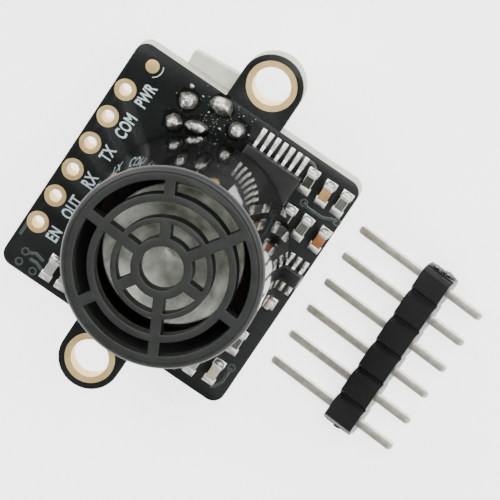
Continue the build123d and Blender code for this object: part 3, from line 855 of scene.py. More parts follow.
# --------------------------------------------------------------------------- board
@dataclass
class CircuitBoard:
    """The board: laminate core, mask on both faces, traces, plated holes and printed legend."""

    body_y: float = 21.0
    corner_r: float = 1.0
    mask_t: float = 0.03
    drill_gap: float = 0.05
    trace_t: float = 0.03
    trace_w: float = 0.26
    via_r: float = 0.27
    barrel_t: float = 0.045
    ring_t: float = 0.05
    soft: float = 0.02
    ink_t: float = 0.012
    ink_w: float = 0.12
    letter_h: float = 1.38
    squeeze: float = 0.62
    labels: tuple[str, ...] = ("EN", "OUT", "RX", "TX", "COM", "PWR")
    label_gap: float = 1.62
    label_shifts: tuple[float, ...] = (-0.1, -0.05, 0.0, 0.05, 0.15, 0.5)
    back_label_gap: float = 1.75
    back_letter_h: float = 1.173
    pad_tick_r: float = 0.86

    def __post_init__(self) -> None:
        """Read the board's size and holes from the frame."""
        box = node_box("circuit_board")
        self.front_z, self.back_z = box.high.z, box.low.z
        self.half_x, self.half_y = box.high.x, self.body_y / 2
        self.ears = solids_of("board_ear_hole_plating")
        self.ear_y = self.ears[-1].centre.y
        self.ear_r = box.high.y - self.ear_y
        self.header_holes = solids_of("board_header_hole_plating")
        mounts = {m["name"]: m for m in frame["record"]["mounts"]}
        self.ear_hole_r = mounts["mounting_holes"]["dims"]["hole_r_mm"]
        self.header_hole_r = mounts["header_hole_1"]["dims"]["r_mm"]

    def outline(self) -> list[Point2]:
        """Give the board's outline, both ears included.

        Returns:
            The closed ring of points.
        """
        x, y, r, ear = self.half_x, self.half_y, self.corner_r, self.ear_r
        return [*arc((x - r, y - r), r, 0, 90, 6), (ear, y),
                *arc((0, self.ear_y), ear, 0, 180, 28), (-ear, y),
                *arc((r - x, y - r), r, 90, 180, 6), *arc((r - x, r - y), r, 180, 270, 6),
                (-ear, -y), *arc((0, -self.ear_y), ear, 180, 360, 28), (ear, -y),
                *arc((x - r, r - y), r, 270, 360, 6)]

    def holes(self) -> list[list[Point2]]:
        """Give the drilled holes, a little wider than their plating's bores.

        Returns:
            One ring of points for each hole.
        """
        return [circle((hole.centre.x, hole.centre.y), radius + self.drill_gap, steps)
                for holes, radius, steps in ((self.ears, self.ear_hole_r, 56),
                                             (self.header_holes, self.header_hole_r, 32))
                for hole in holes]

    def build_laminate(self) -> None:
        """Make the core and the mask on each face."""
        board = Shape()
        rings = [self.outline(), *self.holes()]
        inner_low, inner_high = self.back_z + self.mask_t, self.front_z - self.mask_t
        board.plate(rings, inner_low, inner_high, at())
        for low, high in ((inner_high, self.front_z), (self.back_z, inner_low)):
            board.plate(rings, low, high, at(), bevel=self.mask_t * 0.4, skin=1)
        board.piece("board_laminate", [BOARD_CORE, SOLDER_MASK], ["circuit_board"])

    def build_traces(self) -> None:
        """Make the masked copper that shows as low ridges on both faces."""
        for side, traces, vias in ((Side.FRONT, FRONT_TRACES, FRONT_VIAS),
                                   (Side.BACK, BACK_TRACES, BACK_VIAS)):
            copper = Shape()
            seat = at(z=side.seat(self))
            for path in traces:
                copper.bead(path, self.trace_w, self.trace_t, seat)
            for via in vias:
                copper.bead(circle(via, self.via_r, 24), self.trace_w * 0.6, self.trace_t, seat,
                            closed=True)
            # The traces' light colour is partly painted highlight of their edges catching the
            # light.
            copper.piece(f"{side.value}_traces", [COPPER_MASK_PAINTED_HIGHLIGHT])

    def _plated_ring(self, shape: Shape, hole: Solid, hole_r: float) -> None:
        """Add one plated hole: a barrel with a softly rounded ring on each face.

        Args:
            shape: the shape that takes it.
            hole: the box of the plating.
            hole_r: radius of the clear bore.
        """
        soft, ring_r, wall_r = self.soft, hole.size.x / 2, hole_r + self.barrel_t
        low, high = hole.low.z, hole.high.z
        shape.lathe([(hole_r + soft, high), (ring_r - soft, high), (ring_r, high - soft),
                     (ring_r, high - self.ring_t), (wall_r, high - self.ring_t),
                     (wall_r, low + self.ring_t), (ring_r, low + self.ring_t),
                     (ring_r, low + soft), (ring_r - soft, low), (hole_r + soft, low),
                     (hole_r, low + soft), (hole_r, high - soft)],
                    at(hole.centre.x, hole.centre.y), steps=64)

    def build_plating(self) -> None:
        """Make the gold plating of both sets of holes, and the test pad."""
        for name, node, holes, hole_r in (
                ("ear_hole_plating", "board_ear_hole_plating", self.ears, self.ear_hole_r),
                ("header_hole_rings", "board_header_hole_plating", self.header_holes,
                 self.header_hole_r)):
            rings = Shape()
            for hole in holes:
                self._plated_ring(rings, hole, hole_r)
            rings.piece(name, [GOLD_PLATE], [node])
        box = node_box("test_pad")
        pad = Shape()
        pad.rod(box.size.x / 2, box.size.z, box.foot, bevel=self.soft, steps=40)
        pad.piece("gold_test_pad", [GOLD_PLATE], ["test_pad"])

    def build_legend(self) -> None:
        """Print the pin names beside the holes and a tick beside the test pad."""
        ink = Shape()
        for hole, words, shift in zip(self.header_holes, self.labels, self.label_shifts):
            x, y = hole.centre.x, hole.centre.y
            ink.lettering(words, self.letter_h, self.ink_t, self.ink_w / 4, self.squeeze,
                          at(x + self.label_gap, y + shift, self.front_z, 90))
            ink.lettering(words, self.back_letter_h, self.ink_t, self.ink_w / 5, self.squeeze,
                          at(x + self.back_label_gap, y, self.back_z, 90, flip=True))
        pad = node_box("test_pad").centre
        ink.bead(arc((pad.x, pad.y), self.pad_tick_r, -60, 30, 8), self.ink_w * 0.6, self.ink_t,
                 at(z=self.front_z))
        ink.piece("printed_legend", [LEGEND_INK])

    def build(self) -> None:
        """Make the whole board."""
        self.build_laminate()
        self.build_traces()
        self.build_plating()
        self.build_legend()


# Middle lines of the copper that shows through the mask.
FRONT_TRACES: tuple[tuple[Point2, ...], ...] = (
    ((7.0, 6.9), (7.4, 6.75), (8.8, 6.75), (9.5, 7.1), (9.9, 7.1)),
    ((-8.45, -8.85), (-7.9, -8.55), (-7.1, -8.75)),
    ((-8.1, -9.2), (-7.5, -9.15), (-6.9, -9.4)),
    ((9.5, -7.3), (9.5, -8.6), (9.2, -9.3), (8.9, -9.5)),
    ((4.6, 9.9), (5.9, 9.9), (6.4, 9.6)),
    ((-3.9, -9.9), (-1.2, -9.9), (0.4, -9.6), (2.6, -9.6), (4.2, -9.9), (6.0, -9.9)),
    ((-9.8, -8.0), (-9.8, -6.2)),
)
FRONT_VIAS: tuple[Point2, ...] = ((9.5, -7.3), (-8.7, -8.9), (-8.7, -9.85), (9.9, 7.1), (7.0, 6.9),
                                  (-7.4, -9.9), (3.2, -9.6))
BACK_TRACES: tuple[tuple[Point2, ...], ...] = (
    ((-8.3, 6.35), (-7.4, 6.35), (-7.0, 5.9), (-7.0, 3.4)),
    ((-8.3, 3.81), (-7.9, 3.4), (-7.9, 0.4), (-7.3, -0.2)),
    ((-8.3, -1.27), (-7.6, -2.0), (-7.6, -4.6), (-6.6, -4.6)),
    ((-8.3, -3.81), (-8.0, -3.81), (-7.9, -5.6), (-7.1, -6.3)),
    ((-8.3, -6.35), (-7.4, -7.2), (-7.1, -7.2)),
    ((0.3, -4.6), (1.0, -4.0), (1.7, -4.0), (2.2, -3.4), (2.2, -1.6)),
    ((0.3, -8.0), (1.2, -8.9), (2.0, -8.9)),
    ((4.2, 1.6), (4.9, 1.6), (5.4, 2.2)),
    ((6.2, 0.0), (7.4, 0.0), (8.9, 1.2)),
    ((8.9, 6.2), (8.9, 7.2)),
    ((5.6, 9.9), (7.2, 9.9), (8.4, 9.5)),
    ((-3.9, 0.0), (-3.0, 0.0), (-2.2, 1.2)),
)
BACK_VIAS: tuple[Point2, ...] = ((-7.0, 3.4), (2.2, -1.6), (2.0, -8.9), (0.9, 0.2), (7.6, 1.0),
                                 (-5.6, -1.6), (-2.2, -1.4), (9.5, -0.6), (9.5, 9.7), (-9.2, 9.2))


# --------------------------------------------------------------------------- transducer
@dataclass
class Transducer:
    """Open-type ultrasonic transducer: can, grille, horn and what drives it."""

    wall: float = 0.8
    rim_round: float = 0.45
    rim_line: float = 0.05
    rim_sink: float = 0.015
    skirt_in: float = 0.05
    skirt_top: Point2 = (1.55, 1.5)
    lead_in: Point2 = (0.15, 0.1)
    lining_t: float = 0.02
    grille_t: float = 1.2
    grille_round: float = 0.07
    hole_r: float = 1.7
    slots: tuple[tuple[Point2, int, float], ...] = (
        ((2.4, 3.5), 6, 0), ((3.95, 5.15), 3, 60), ((5.75, 6.8), 6, 0))
    spoke_w: float = 0.85
    turn: float = -3.0
    horn_foot_r: float = 1.1
    horn_foot_z: float = 0.25
    horn_lip: float = 0.07
    horn_neck: float = 0.1
    horn_t: float = 0.14
    horn_step: float = 0.03
    horn_flare: float = 1.12
    horn_steps: int = 14
    rolled_r: float = 0.12
    dish: tuple[Point2, ...] = ((0.0, 0.34), (0.5, 0.30), (0.9, 0.22))
    feet: tuple[float, ...] = (105.0, 205.0, 305.0)
    foot_ring_r: float = 5.4
    foot_r: float = 0.8

    def __post_init__(self) -> None:
        """Read the can's place from the frame."""
        self.can = node_box("transducer_can")
        self.radius = self.can.size.x / 2
        self.x = self.can.centre.x
        self.place = at(self.x, self.can.centre.y)

    def slot_ring(self, radii: Point2, count: int, first: float) -> list[list[Point2]]:
        """Give the openings of one ring of slots.

        Args:
            radii: inner and outer radius of the slots.
            count: how many spokes cross the ring.
            first: angle of the first spoke in degrees.

        Returns:
            One outline for each opening, with spokes of even width between them.
        """
        inner, outer = radii
        trim_in, trim_out = (math.degrees(math.asin(self.spoke_w / 2 / r)) for r in radii)
        steps = round(72 / count)
        openings = []
        for i in range(count):
            start = self.turn + first + 360 * i / count
            end = start + 360 / count
            openings.append(arc((0, 0), outer, start + trim_out, end - trim_out, steps)
                            + arc((0, 0), inner, end - trim_in, start + trim_in, steps))
        return openings

    def build_can(self) -> None:
        """Make the polished wall with its rounded rim, and the lining."""
        low, high = self.can.low.z, self.can.high.z
        r, inner, soft = self.radius, self.radius - self.wall, self.rim_round
        land, skirt, under = r - soft, r - self.skirt_in, high - self.grille_t
        wall = Shape()
        wall.lathe([(inner, low), (r - self.lead_in[0], low), (skirt, low + self.lead_in[1]),
                    (skirt, high - self.skirt_top[0]), (r, high - self.skirt_top[1]),
                    (r, high - soft), (land, high - soft), (land, under), (inner, under)],
                   self.place, steps=192)
        # The rim's last curl stops short of the grille, which leaves a fine sunken line.
        line = self.rim_line
        rim = [(land + x, high - soft + z) for x, z in arc((0, 0), soft, 0, 90, 8)]
        wall.lathe([(land, high - soft), *[p for p in rim if p[0] > land + 1.5 * line],
                    (land + line, high - self.rim_sink), (land + line, high - line),
                    (land, high - line)], self.place, steps=192, skin=1)
        wall.piece("can_wall", [POLISHED_CAN, MATT_GRILLE], ["transducer_can"], sharp=28)
        lining = Shape()
        foot = low + self.lead_in[1]
        lining.lathe([(inner - self.lining_t, foot), (inner, foot), (inner, under),
                      (inner - self.lining_t, under)], self.place, steps=96)
        lining.piece("can_lining", [CAN_LINING])

    def build_grille(self) -> None:
        """Make the slotted face with its softened edges."""
        high = self.can.high.z
        openings = [ring for slot in self.slots for ring in self.slot_ring(*slot)]
        grille = Shape()
        grille.plate([circle((0, 0), self.radius - self.rim_round, 144),
                      circle((0, 0), self.hole_r, 64), *openings],
                     high - self.grille_t, high, self.place, bevel=self.grille_round, segments=2)
        grille.piece("can_grille", [MATT_GRILLE])

    def build_horn(self) -> None:
        """Make the thin spun horn with its rolled rim and dished middle."""
        box = node_box("resonator_cone")
        low, high, foot_r, curl = box.low.z, box.high.z, self.horn_foot_r, self.rolled_r
        rim_r = box.size.x / 2 - curl
        rise = high - low - self.horn_foot_z - self.horn_lip
        curve = [(foot_r + (rim_r - foot_r) * t,
                  low + self.horn_foot_z + rise * t ** self.horn_flare)
                 for t in (i / self.horn_steps for i in range(self.horn_steps + 1))]
        rolled = [(rim_r + x, high - curl + z) for x, z in arc((0, 0), curl, 120, -120, 8)]
        under = [(r + self.horn_step, z - self.horn_t) for r, z in reversed(curve)]
        middle = [(r, low + z) for r, z in self.dish]
        horn = Shape()
        horn.lathe([*middle, *curve, *rolled, *under, (foot_r - self.horn_neck, low),
                    (0.0, low)], self.place, steps=128)
        horn.piece("spun_horn", [HORN_ALUMINIUM], ["resonator_cone"], sharp=50)

    def build_motor(self) -> None:
        """Make the diaphragm, the piezo disc, the soft ring, the base, its pins and wires."""
        for name, node, finish, bevel, steps in (
                ("diaphragm", "vibrating_disc", DIAPHRAGM_METAL, 0.06, 96),
                ("piezo_element", "piezo_disc", PIEZO_SILVER, 0.05, 80)):
            box = node_box(node)
            disc = Shape()
            disc.rod(box.size.x / 2, box.size.z, at(self.x, 0, box.low.z), bevel, steps=steps)
            disc.piece(name, [finish], [node])
        box = node_box("transducer_base")
        plate_low = self.can.low.z
        base = Shape()
        base.rod(box.size.x / 2, box.high.z - plate_low, at(self.x, 0, plate_low), bevel=0.1,
                 steps=96)
        for angle in self.feet:
            foot = arc((self.x, 0.0), self.foot_ring_r, angle, angle, 1)[0]
            base.rod(self.foot_r, plate_low - box.low.z + 0.1, at(*foot, box.low.z), bevel=0.06)
        base.piece("can_base", [BASE_LAMINATE], ["transducer_base"])
        pins = Shape()
        for pin in solids_of("transducer_terminals"):
            pins.rod(pin.size.x / 2, pin.size.z, pin.foot, bevel=0.12)
        pins.piece("terminal_pins", [TIN_PLATE], ["transducer_terminals"])
        for node, finish in (("damping_ring", SILICONE), ("transducer_lead_wires", RED_WIRE)):
            finishes = frame["nodes"][node].data.materials
            finishes.clear()
            finishes.append(finish.material())

    def build(self) -> None:
        """Make the whole transducer."""
        self.build_can()
        self.build_grille()
        self.build_horn()
        self.build_motor()


# --------------------------------------------------------------------------- solder
@dataclass(frozen=True)
class JointLook:
    """How one hand-made joint turned out: its spread, its turn and how it filled."""

    long: float
    wide: float
    turn: float
    height: float
    seed: float


@dataclass
class SolderWork:
    """The five hand-soldered transformer pins and the two transducer pins."""

    board: CircuitBoard
    looks: tuple[JointLook, ...] = (
        JointLook(1.35, 1.30, 0, 0.62, 1.0),
        JointLook(1.95, 0.95, 20, 0.50, 2.3),
        JointLook(1.55, 1.45, 0, 0.62, 3.1),
        JointLook(1.40, 1.35, 0, 0.64, 4.7),
        JointLook(1.90, 1.50, 10, 0.60, 5.9),
    )
    skirt_steps: int = 7
    lump: float = 0.16
    lump_z: float = 0.30
    front_pin_r: float = 0.30
    back_pin_r: float = 0.42
    # Drops that spattered beside the joints: their place and their width.
    drops: tuple[tuple[float, float, float], ...] = (
        (-5.05, 9.6, 0.42), (-1.5, 8.0, 0.24), (-3.9, 9.4, 0.16),
        (-0.5, 9.9, 0.14), (-2.9, 8.6, 0.15), (0.6, 8.9, 0.17))
    drop_form: Point2 = (0.8, 0.35)
    tip_share: float = 0.8
    tip_short: float = 0.12
    flux_size: tuple[float, float, float] = (2.0, 1.9, 0.025)
    flux_lumps: float = 0.25
    speck_count: int = 90
    speck_middle: Point2 = (-2.0, 8.3)
    speck_reach: Point2 = (5.6, 3.2)
    speck_size: Point2 = (0.05, 0.09)

    def _joint(self, shape: Shape, spot: Solid, look: JointLook, side: Side,
               pin_r: float) -> None:
        """Add one joint: a concave skirt that climbs the pin, uneven all round.

        Args:
            shape: the shape that takes it.
            spot: the box of the joint.
            look: how it turned out.
            side: the face of the board that it sits on.
            pin_r: radius of the pin.
        """
        profile = []
        for i in range(self.skirt_steps + 1):
            t = i / self.skirt_steps
            profile.append((0.5 - (0.5 - pin_r / look.wide) * t,
                            look.height * math.sin(t * math.pi / 2) ** 0.9))
        part = turned([*profile, (0.0, look.height * 1.02)], 48, closed=False)
        bmesh.ops.scale(part, vec=(look.long, look.wide, 1), verts=part.verts)
        for vertex in part.verts:
            push = noise.noise(Vector((vertex.co.x, vertex.co.y, look.seed)) * 2.1)
            vertex.co.x *= 1 + self.lump * push
            vertex.co.y *= 1 + self.lump * push
            vertex.co.z *= 1 + self.lump_z * push
        shape.absorb(part, side.place(self.board, spot.centre.x, spot.centre.y, look.turn))

    def _speck(self, shape: Shape, index: int) -> None:
        """Add one speck of dried flux.

        Args:
            shape: the shape that takes it.
            index: which speck it is.
        """
        (x, y), (far_x, far_y), (least, more) = (self.speck_middle, self.speck_reach,
                                                 self.speck_size)
        x += far_x * noise.noise(Vector((index * 3.7, 1.1, 0.0)))
        y += far_y * noise.noise(Vector((0.4, index * 2.9, 5.0)))
        size = least + more * abs(noise.noise(Vector((index * 1.3, 7.7, 2.0))))
        place = Side.FRONT.place(self.board, x, min(y, self.board.half_y - 0.2))
        shape.blob((size, size * 0.8, size * 0.4), place, self.lump_z, index, detail=1)

    def build_front(self) -> None:
        """Make the front joints with their drops, the pins' tips and the flux."""
        spots = solids_of("transformer_solder_joints")
        joints, tips, flux, specks = Shape(), Shape(), Shape(), Shape()
        for spot, look in zip(spots, self.looks):
            self._joint(joints, spot, look, Side.FRONT, self.front_pin_r)
        for index, (x, y, size) in enumerate(self.drops, start=1):
            joints.blob((size, size * self.drop_form[0], size * self.drop_form[1]),
                        Side.FRONT.place(self.board, x, y), self.lump_z, index, detail=2)
        joints.piece("transformer_joints", [SOLDER], ["transformer_solder_joints"], sharp=60)
        for pin in solids_of("transformer_pins"):
            tips.rod(pin.size.x / 2 * self.tip_share, pin.size.z - self.tip_short, pin.foot,
                     bevel=0.1)
        tips.piece("transformer_pin_tips", [SOLDER], ["transformer_pins"])
        for index, spot in enumerate(spots):
            seat = Side.FRONT.place(self.board, spot.centre.x, spot.centre.y)
            flux.blob(self.flux_size, seat, self.flux_lumps, index * 1.7)
        flux.piece("flux_residue", [FLUX])
        for index in range(self.speck_count):
            self._speck(specks, index)
        specks.piece("dried_flux_specks", [DRIED_FLUX])

    def build_back(self) -> None:
        """Make the two joints of the transducer's pins."""
        joints = Shape()
        for index, spot in enumerate(solids_of("terminal_solder_joints")):
            look = JointLook(spot.size.x * 0.98, spot.size.x * 0.94, 30 * index,
                             spot.size.z * 0.85, 7.0 + index)
            self._joint(joints, spot, look, Side.BACK, self.back_pin_r)
        joints.piece("terminal_joints", [SOLDER], ["terminal_solder_joints"], sharp=60)

    def build(self) -> None:
        """Make all the solder."""
        self.build_front()
        self.build_back()


# --------------------------------------------------------------------------- chips
PAD_T = 0.03
PAD_ROUND = 0.012


@dataclass
class MouldedChip:
    """A gull-wing chip: moulded body, bent leads, pads and solder under each foot."""

    board: CircuitBoard
    name: str
    side: Side
    edge: float = 0.05
    taper: float = 0.06
    parting: float = 0.04
    face_in: float = 0.06
    face_round: float = 0.015
    dot_r: float = 0.28
    dot_share: float = 0.12
    dot_in: float = 2.6
    lead_t: float = 0.13
    root: float = 0.15
    foot_len: float = 0.6
    foot_share: float = 0.55
    bend: float = 0.12
    # The pad is wider than its lead; pad and solder run past the foot and sit further out.
    pad_spread: float = 1.5
    pad_more: Point2 = (0.75, 0.08)
    solder_more: Point2 = (0.55, 0.12)
    solder_over: float = 0.04

    def build(self) -> None:
        """Make the body, its leads and the solder."""
        body = node_box(f"{self.name}_body")
        seat = self.side.seat(self.board)
        standoff = abs((body.high.z if self.side is Side.BACK else body.low.z) - seat)
        half = body.size.z / 2
        self._body(body, standoff)
        metal, solder = Shape(), Shape()
        for index, lead in enumerate(solids_of(f"{self.name}_leads")):
            self._lead(metal, solder, lead, 1 if lead.centre.y > body.centre.y else -1,
                       standoff + half, index)
        metal.piece(f"{self.name}_pins", [TIN_PLATE], [f"{self.name}_leads"], sharp=40)
        solder.piece(f"{self.name}_solder", [REFLOW_SOLDER], sharp=60)

    def _body(self, body: Solid, standoff: float) -> None:
        """Make the moulded body: two tapered halves, and a face with a sunken dot.

        Args:
            body: its box.
            standoff: height of its underside above the board.
        """
        long, wide, height = body.size
        place = self.side.place(self.board, body.centre.x, body.centre.y)
        half, top = height / 2, standoff + height
        shell = Shape()
        middle = place @ at(z=standoff + half)
        lower = middle @ Matrix.Rotation(math.pi, 4, "X")
        shell.box((long, wide, half), lower, bevel=self.edge, taper=self.taper)
        shell.box((long, wide, half - self.parting), middle, bevel=self.edge, taper=self.taper)
        trim = 2 * self.taper + self.face_in
        dot = min(self.dot_r, wide * self.dot_share)
        mark = circle((self.dot_in * dot - long / 2, self.dot_in * dot - wide / 2), dot, 20)
        shell.plate([rounded_rectangle(long - trim, wide - trim, self.face_in), mark],
                    top - self.face_in, top, place, bevel=self.face_round)
        shell.piece(f"{self.name}_moulding", [CHIP_EPOXY], [f"{self.name}_body"])

    def _lead(self, metal: Shape, solder: Shape, lead: Solid, away: int, knee: float,
              index: int) -> None:
        """Add one lead, its pad and the solder at its toe and heel.

        Args:
            metal: the shape that takes the lead.
            solder: the shape that takes the pad and the solder.
            lead: the box of the lead.
            away: 1 if it reaches towards +Y, -1 if towards -Y.
            knee: height of its root above the board.
            index: which lead it is.
        """
        wide, reach, _ = lead.size
        foot = min(self.foot_len, reach * self.foot_share)
        heel = reach - foot
        bend = min(self.bend, heel / 2.5)
        rise = knee - self.lead_t / 2
        path = [(-self.root, rise), (heel - 2 * bend, rise), (heel - bend, rise - bend * 0.4),
                (heel - bend * 0.6, bend * 0.9), (heel, bend * 0.15), (heel + bend, 0.0),
                (reach, 0.0)]
        root_y = lead.low.y if away > 0 else lead.high.y
        place = at(lead.centre.x, root_y, self.side.seat(self.board), 0 if away > 0 else 180)
        if self.side is Side.BACK:
            place = place @ Matrix.Diagonal((1, 1, -1, 1))
        metal.ribbon(path, wide, self.lead_t, place)
        pad_w, middle = wide * self.pad_spread, reach - foot / 2
        more, out = self.pad_more
        solder.box((pad_w, foot + more, PAD_T), place @ at(0, middle + out), bevel=PAD_ROUND,
                   segments=1)
        more, out = self.solder_more
        solder.blob((pad_w, foot + more, self.lead_t + self.solder_over),
                    place @ at(0, middle + out, PAD_T / 2), 0.06, index * 0.9, detail=2)


# --------------------------------------------------------------------------- small parts
@dataclass
class ChipParts:
    """A family of two-ended chip parts on one face of the board."""

    board: CircuitBoard
    name: str
    side: Side
    finishes: tuple[Finish, ...]
    pattern: tuple[int, ...]
    round_edge: float = 0.06
    film_t: float = 0.035
    flat_below: float = 0.5
    film_in: Point2 = (0.02, 0.12)
    cap_l: float = 0.35
    cap_proud: float = 0.03
    tuck: float = 0.1
    lift: float = 0.01
    askew_deg: float = 2.5
    pad_l: float = 0.66
    pad_more: float = 0.18
    pad_out: float = 0.15
    fillet_l: float = 0.5
    fillet_out: float = 0.2

    def build(self) -> None:
        """Make every part of the family: body, end caps and solder fillets."""
        bodies, caps, solder = Shape(), Shape(), Shape()
        for index, spot in enumerate(solids_of(f"{self.name}_bodies")):
            skin = self.pattern[index % len(self.pattern)]
            self._part(bodies, caps, solder, spot, skin, index)
        bodies.piece(f"{self.name}_cores", self.finishes, [f"{self.name}_bodies"])
        caps.piece(f"{self.name}_terminations", [TIN_PLATE], [f"{self.name}_end_caps"])
        solder.piece(f"{self.name}_solder", [REFLOW_SOLDER], sharp=60)

    def _part(self, bodies: Shape, caps: Shape, solder: Shape, spot: Solid, skin: int,
              index: int) -> None:
        """Add one part with its solder, a little out of true.

        Args:
            bodies: the shape that takes its body.
            caps: the shape that takes its end caps.
            solder: the shape that takes its pads and fillets.
            spot: the box of its body.
            skin: number of its finish.
            index: which part it is.
        """
        core, wide = max(spot.size.x, spot.size.y), min(spot.size.x, spot.size.y)
        height = spot.size.z
        turn = (90 if spot.size.y > spot.size.x else 0) + self.askew_deg * math.sin(index * 2.3)
        place = self.side.place(self.board, spot.centre.x, spot.centre.y, turn)
        # A resistor is a white slab with a coloured film on top; a capacitor is one colour.
        flat = height < self.flat_below
        bodies.box((core + self.tuck, wide - self.cap_proud, height - self.cap_proud),
                   place @ at(z=self.lift), bevel=self.round_edge, skin=0 if flat else skin)
        if flat:
            bodies.box((core - self.film_in[0], wide - self.film_in[1], self.film_t),
                       place @ at(z=height - self.film_t), bevel=self.film_t * 0.4, segments=1,
                       skin=skin)
        for end in (-1, 1):
            reach = end * (core + self.cap_l) / 2
            caps.box((self.cap_l, wide, height), place @ at(reach), bevel=self.round_edge * 0.9)
            solder.box((self.pad_l, wide + self.pad_more, PAD_T),
                       place @ at(reach + end * self.pad_out), bevel=PAD_ROUND, segments=1)
            solder.blob((self.fillet_l, wide * 0.98, height * 0.5),
                        place @ at(reach + end * self.fillet_out, 0, self.lift), 0.04,
                        index * 1.9 + end)


# --------------------------------------------------------------------------- transformer
@dataclass
class Transformer:
    """The step-up transformer on the back, soldered a little askew."""

    turn: float = 5.3
    plate_u: float = 7.6
    plate_v: float = 7.6
    plate_t: float = 0.9
    corner_r: float = 0.3
    soft: float = 0.06
    nose_u: float = 4.8
    nose_v: float = 1.2
    foot_size: tuple[float, float, float] = (0.9, 0.7, 0.22)
    foot_in: Point2 = (0.7, 0.6)
    foot_drop: float = 0.2
    flange_u: float = 5.2
    flange_t: float = 0.45
    play: float = 0.05
    post: float = 1.8
    leg: float = 0.9
    yoke: float = 1.0
    core_u: float = 7.2
    core_v: float = 6.0
    glue: float = 0.06
    wound: float = 0.75
    wound_round: float = 0.34
    # How much shorter and flatter the winding is than its window and its box.
    wound_clear: Point2 = (0.12, 0.02)
    tube_wall: float = 0.45
    wire_r: float = 0.07
    # Where each wire leaves the winding, and on which side of the core.
    wires: tuple[tuple[float, int], ...] = ((-1.9, 1), (-1.2, 1), (1.6, -1), (0.9, -1))
    wire_rise: float = 1.2
    wire_fan: float = 1.5
    wire_in: float = 0.5
    wire_sink: float = 0.1

    def __post_init__(self) -> None:
        """Read the transformer's place from the frame."""
        self.core_box = node_box("transformer_core")
        self.rest_z = node_box("transformer_bobbin").low.z
        centre = self.core_box.centre
        self.place = at(centre.x, centre.y, 0, self.turn)
        self.mid_z = centre.z
        self.window_v = self.core_v - 2 * self.yoke
        self.tube_u = self.post + 2 * self.tube_wall

    def build_bobbin(self) -> None:
        """Make the pin plate, its nose, the two flanges and the tube."""
        bobbin = Shape()
        u, v, r = self.plate_u / 2, self.plate_v / 2, self.corner_r
        nose_u, nose_v = self.nose_u - u, v + self.nose_v
        outline = [*arc((u - r, r - v), r, 270, 360, 4), *arc((u - r, v - r), r, 0, 90, 4),
                   (nose_u, v), *arc((nose_u - r, nose_v - r), r, 0, 90, 4),
                   *arc((r - u, nose_v - r), r, 90, 180, 4), *arc((r - u, r - v), r, 180, 270, 4)]
        bobbin.plate([outline], -self.plate_t, 0.0, self.place, bevel=self.soft, segments=2)
        flange_y = self.window_v / 2 - self.play - self.flange_t / 2
        flange_h = self.play - self.plate_t - self.rest_z
        for side in (-1, 1):
            bobbin.box((self.flange_u, self.flange_t, flange_h),
                       self.place @ at(0, side * flange_y, self.rest_z), bevel=self.soft)
        tube_h = self.core_box.size.z + 2 * self.tube_wall
        bobbin.box((self.tube_u, 2 * flange_y, tube_h),
                   self.place @ at(z=self.mid_z - tube_h / 2), bevel=self.play)
        x, y = u - self.foot_in[0], v - self.foot_in[1]
        for side_x, side_y in ((-1, -1), (1, -1), (1, 1), (-1, 1)):
            corner = at(side_x * x, side_y * y, -self.plate_t - self.foot_drop)
            bobbin.box(self.foot_size, self.place @ corner, bevel=self.play)
        bobbin.piece("ivory_bobbin", [IVORY_NYLON], ["transformer_bobbin"])

    def build_winding(self) -> None:
        """Make the taped winding and the copper ends that run to the pin plate."""
        height = node_box("transformer_winding").size.z - self.wound_clear[1]
        length = self.window_v - 2 * self.flange_t - self.wound_clear[0]
        coil = Shape()
        coil.box((self.tube_u + 2 * self.wound, length, height),
                 self.place @ at(z=self.mid_z - height / 2), bevel=self.wound_round, segments=4)
        tape = WoundTape("polyester_winding_tape", "C79A2B", "B4851F", 0.9, 0.08, 0.30, 0.28, 0.06,
                         coat=0.3, slot="winding_tape", turn_mm=0.24, askew_deg=self.turn)
        coil.piece("taped_winding", [tape], ["transformer_winding"])
        ends = Shape()
        for x, side in self.wires:
            start = Vector((x, side * (self.window_v / 2 - self.wire_sink),
                            self.mid_z + self.wire_rise))
            end = Vector((x * self.wire_fan, side * (self.plate_v / 2 - self.wire_in),
                          -self.plate_t - self.wire_sink))
            self._wire(ends, start, end)
        ends.piece("winding_ends", [COPPER_WIRE])

    def _wire(self, shape: Shape, start: Vector, end: Vector) -> None:
        """Add one straight fine wire.

        Args:
            shape: the shape that takes it.
            start: one end, in the transformer's own axes.
            end: the other end.
        """
        run = end - start
        part = bmesh.new()
        bmesh.ops.create_cone(part, cap_ends=True, segments=10, radius1=self.wire_r,
                              radius2=self.wire_r, depth=run.length)
        aim = run.to_track_quat("Z", "Y").to_matrix().to_4x4()
        shape.absorb(part, self.place @ Matrix.Translation((start + end) / 2) @ aim)

    def build_core(self) -> None:
        """Make the two ferrite halves with a thin glue line between them."""
        core = Shape()
        low, high = self.core_box.low.z, self.core_box.low.z + self.core_box.size.z
        u, v, gap = self.core_u / 2, self.core_v / 2, self.glue / 2
        post, leg, deep = self.post / 2, u - self.leg, v - self.yoke
        right = [(post, gap), (post, deep), (leg, deep), (leg, gap), (u, gap), (u, v)]
        outline = [(-x, y) for x, y in reversed(right)] + right
        for turn in (180, 0):
            core.plate([outline], low, high, self.place @ at(turn=turn), bevel=0.07, segments=2)
        core.piece("ferrite_core", [FERRITE], ["transformer_core"])

    def build(self) -> None:
        """Make the whole transformer."""
        self.build_bobbin()
        self.build_winding()
        self.build_core()


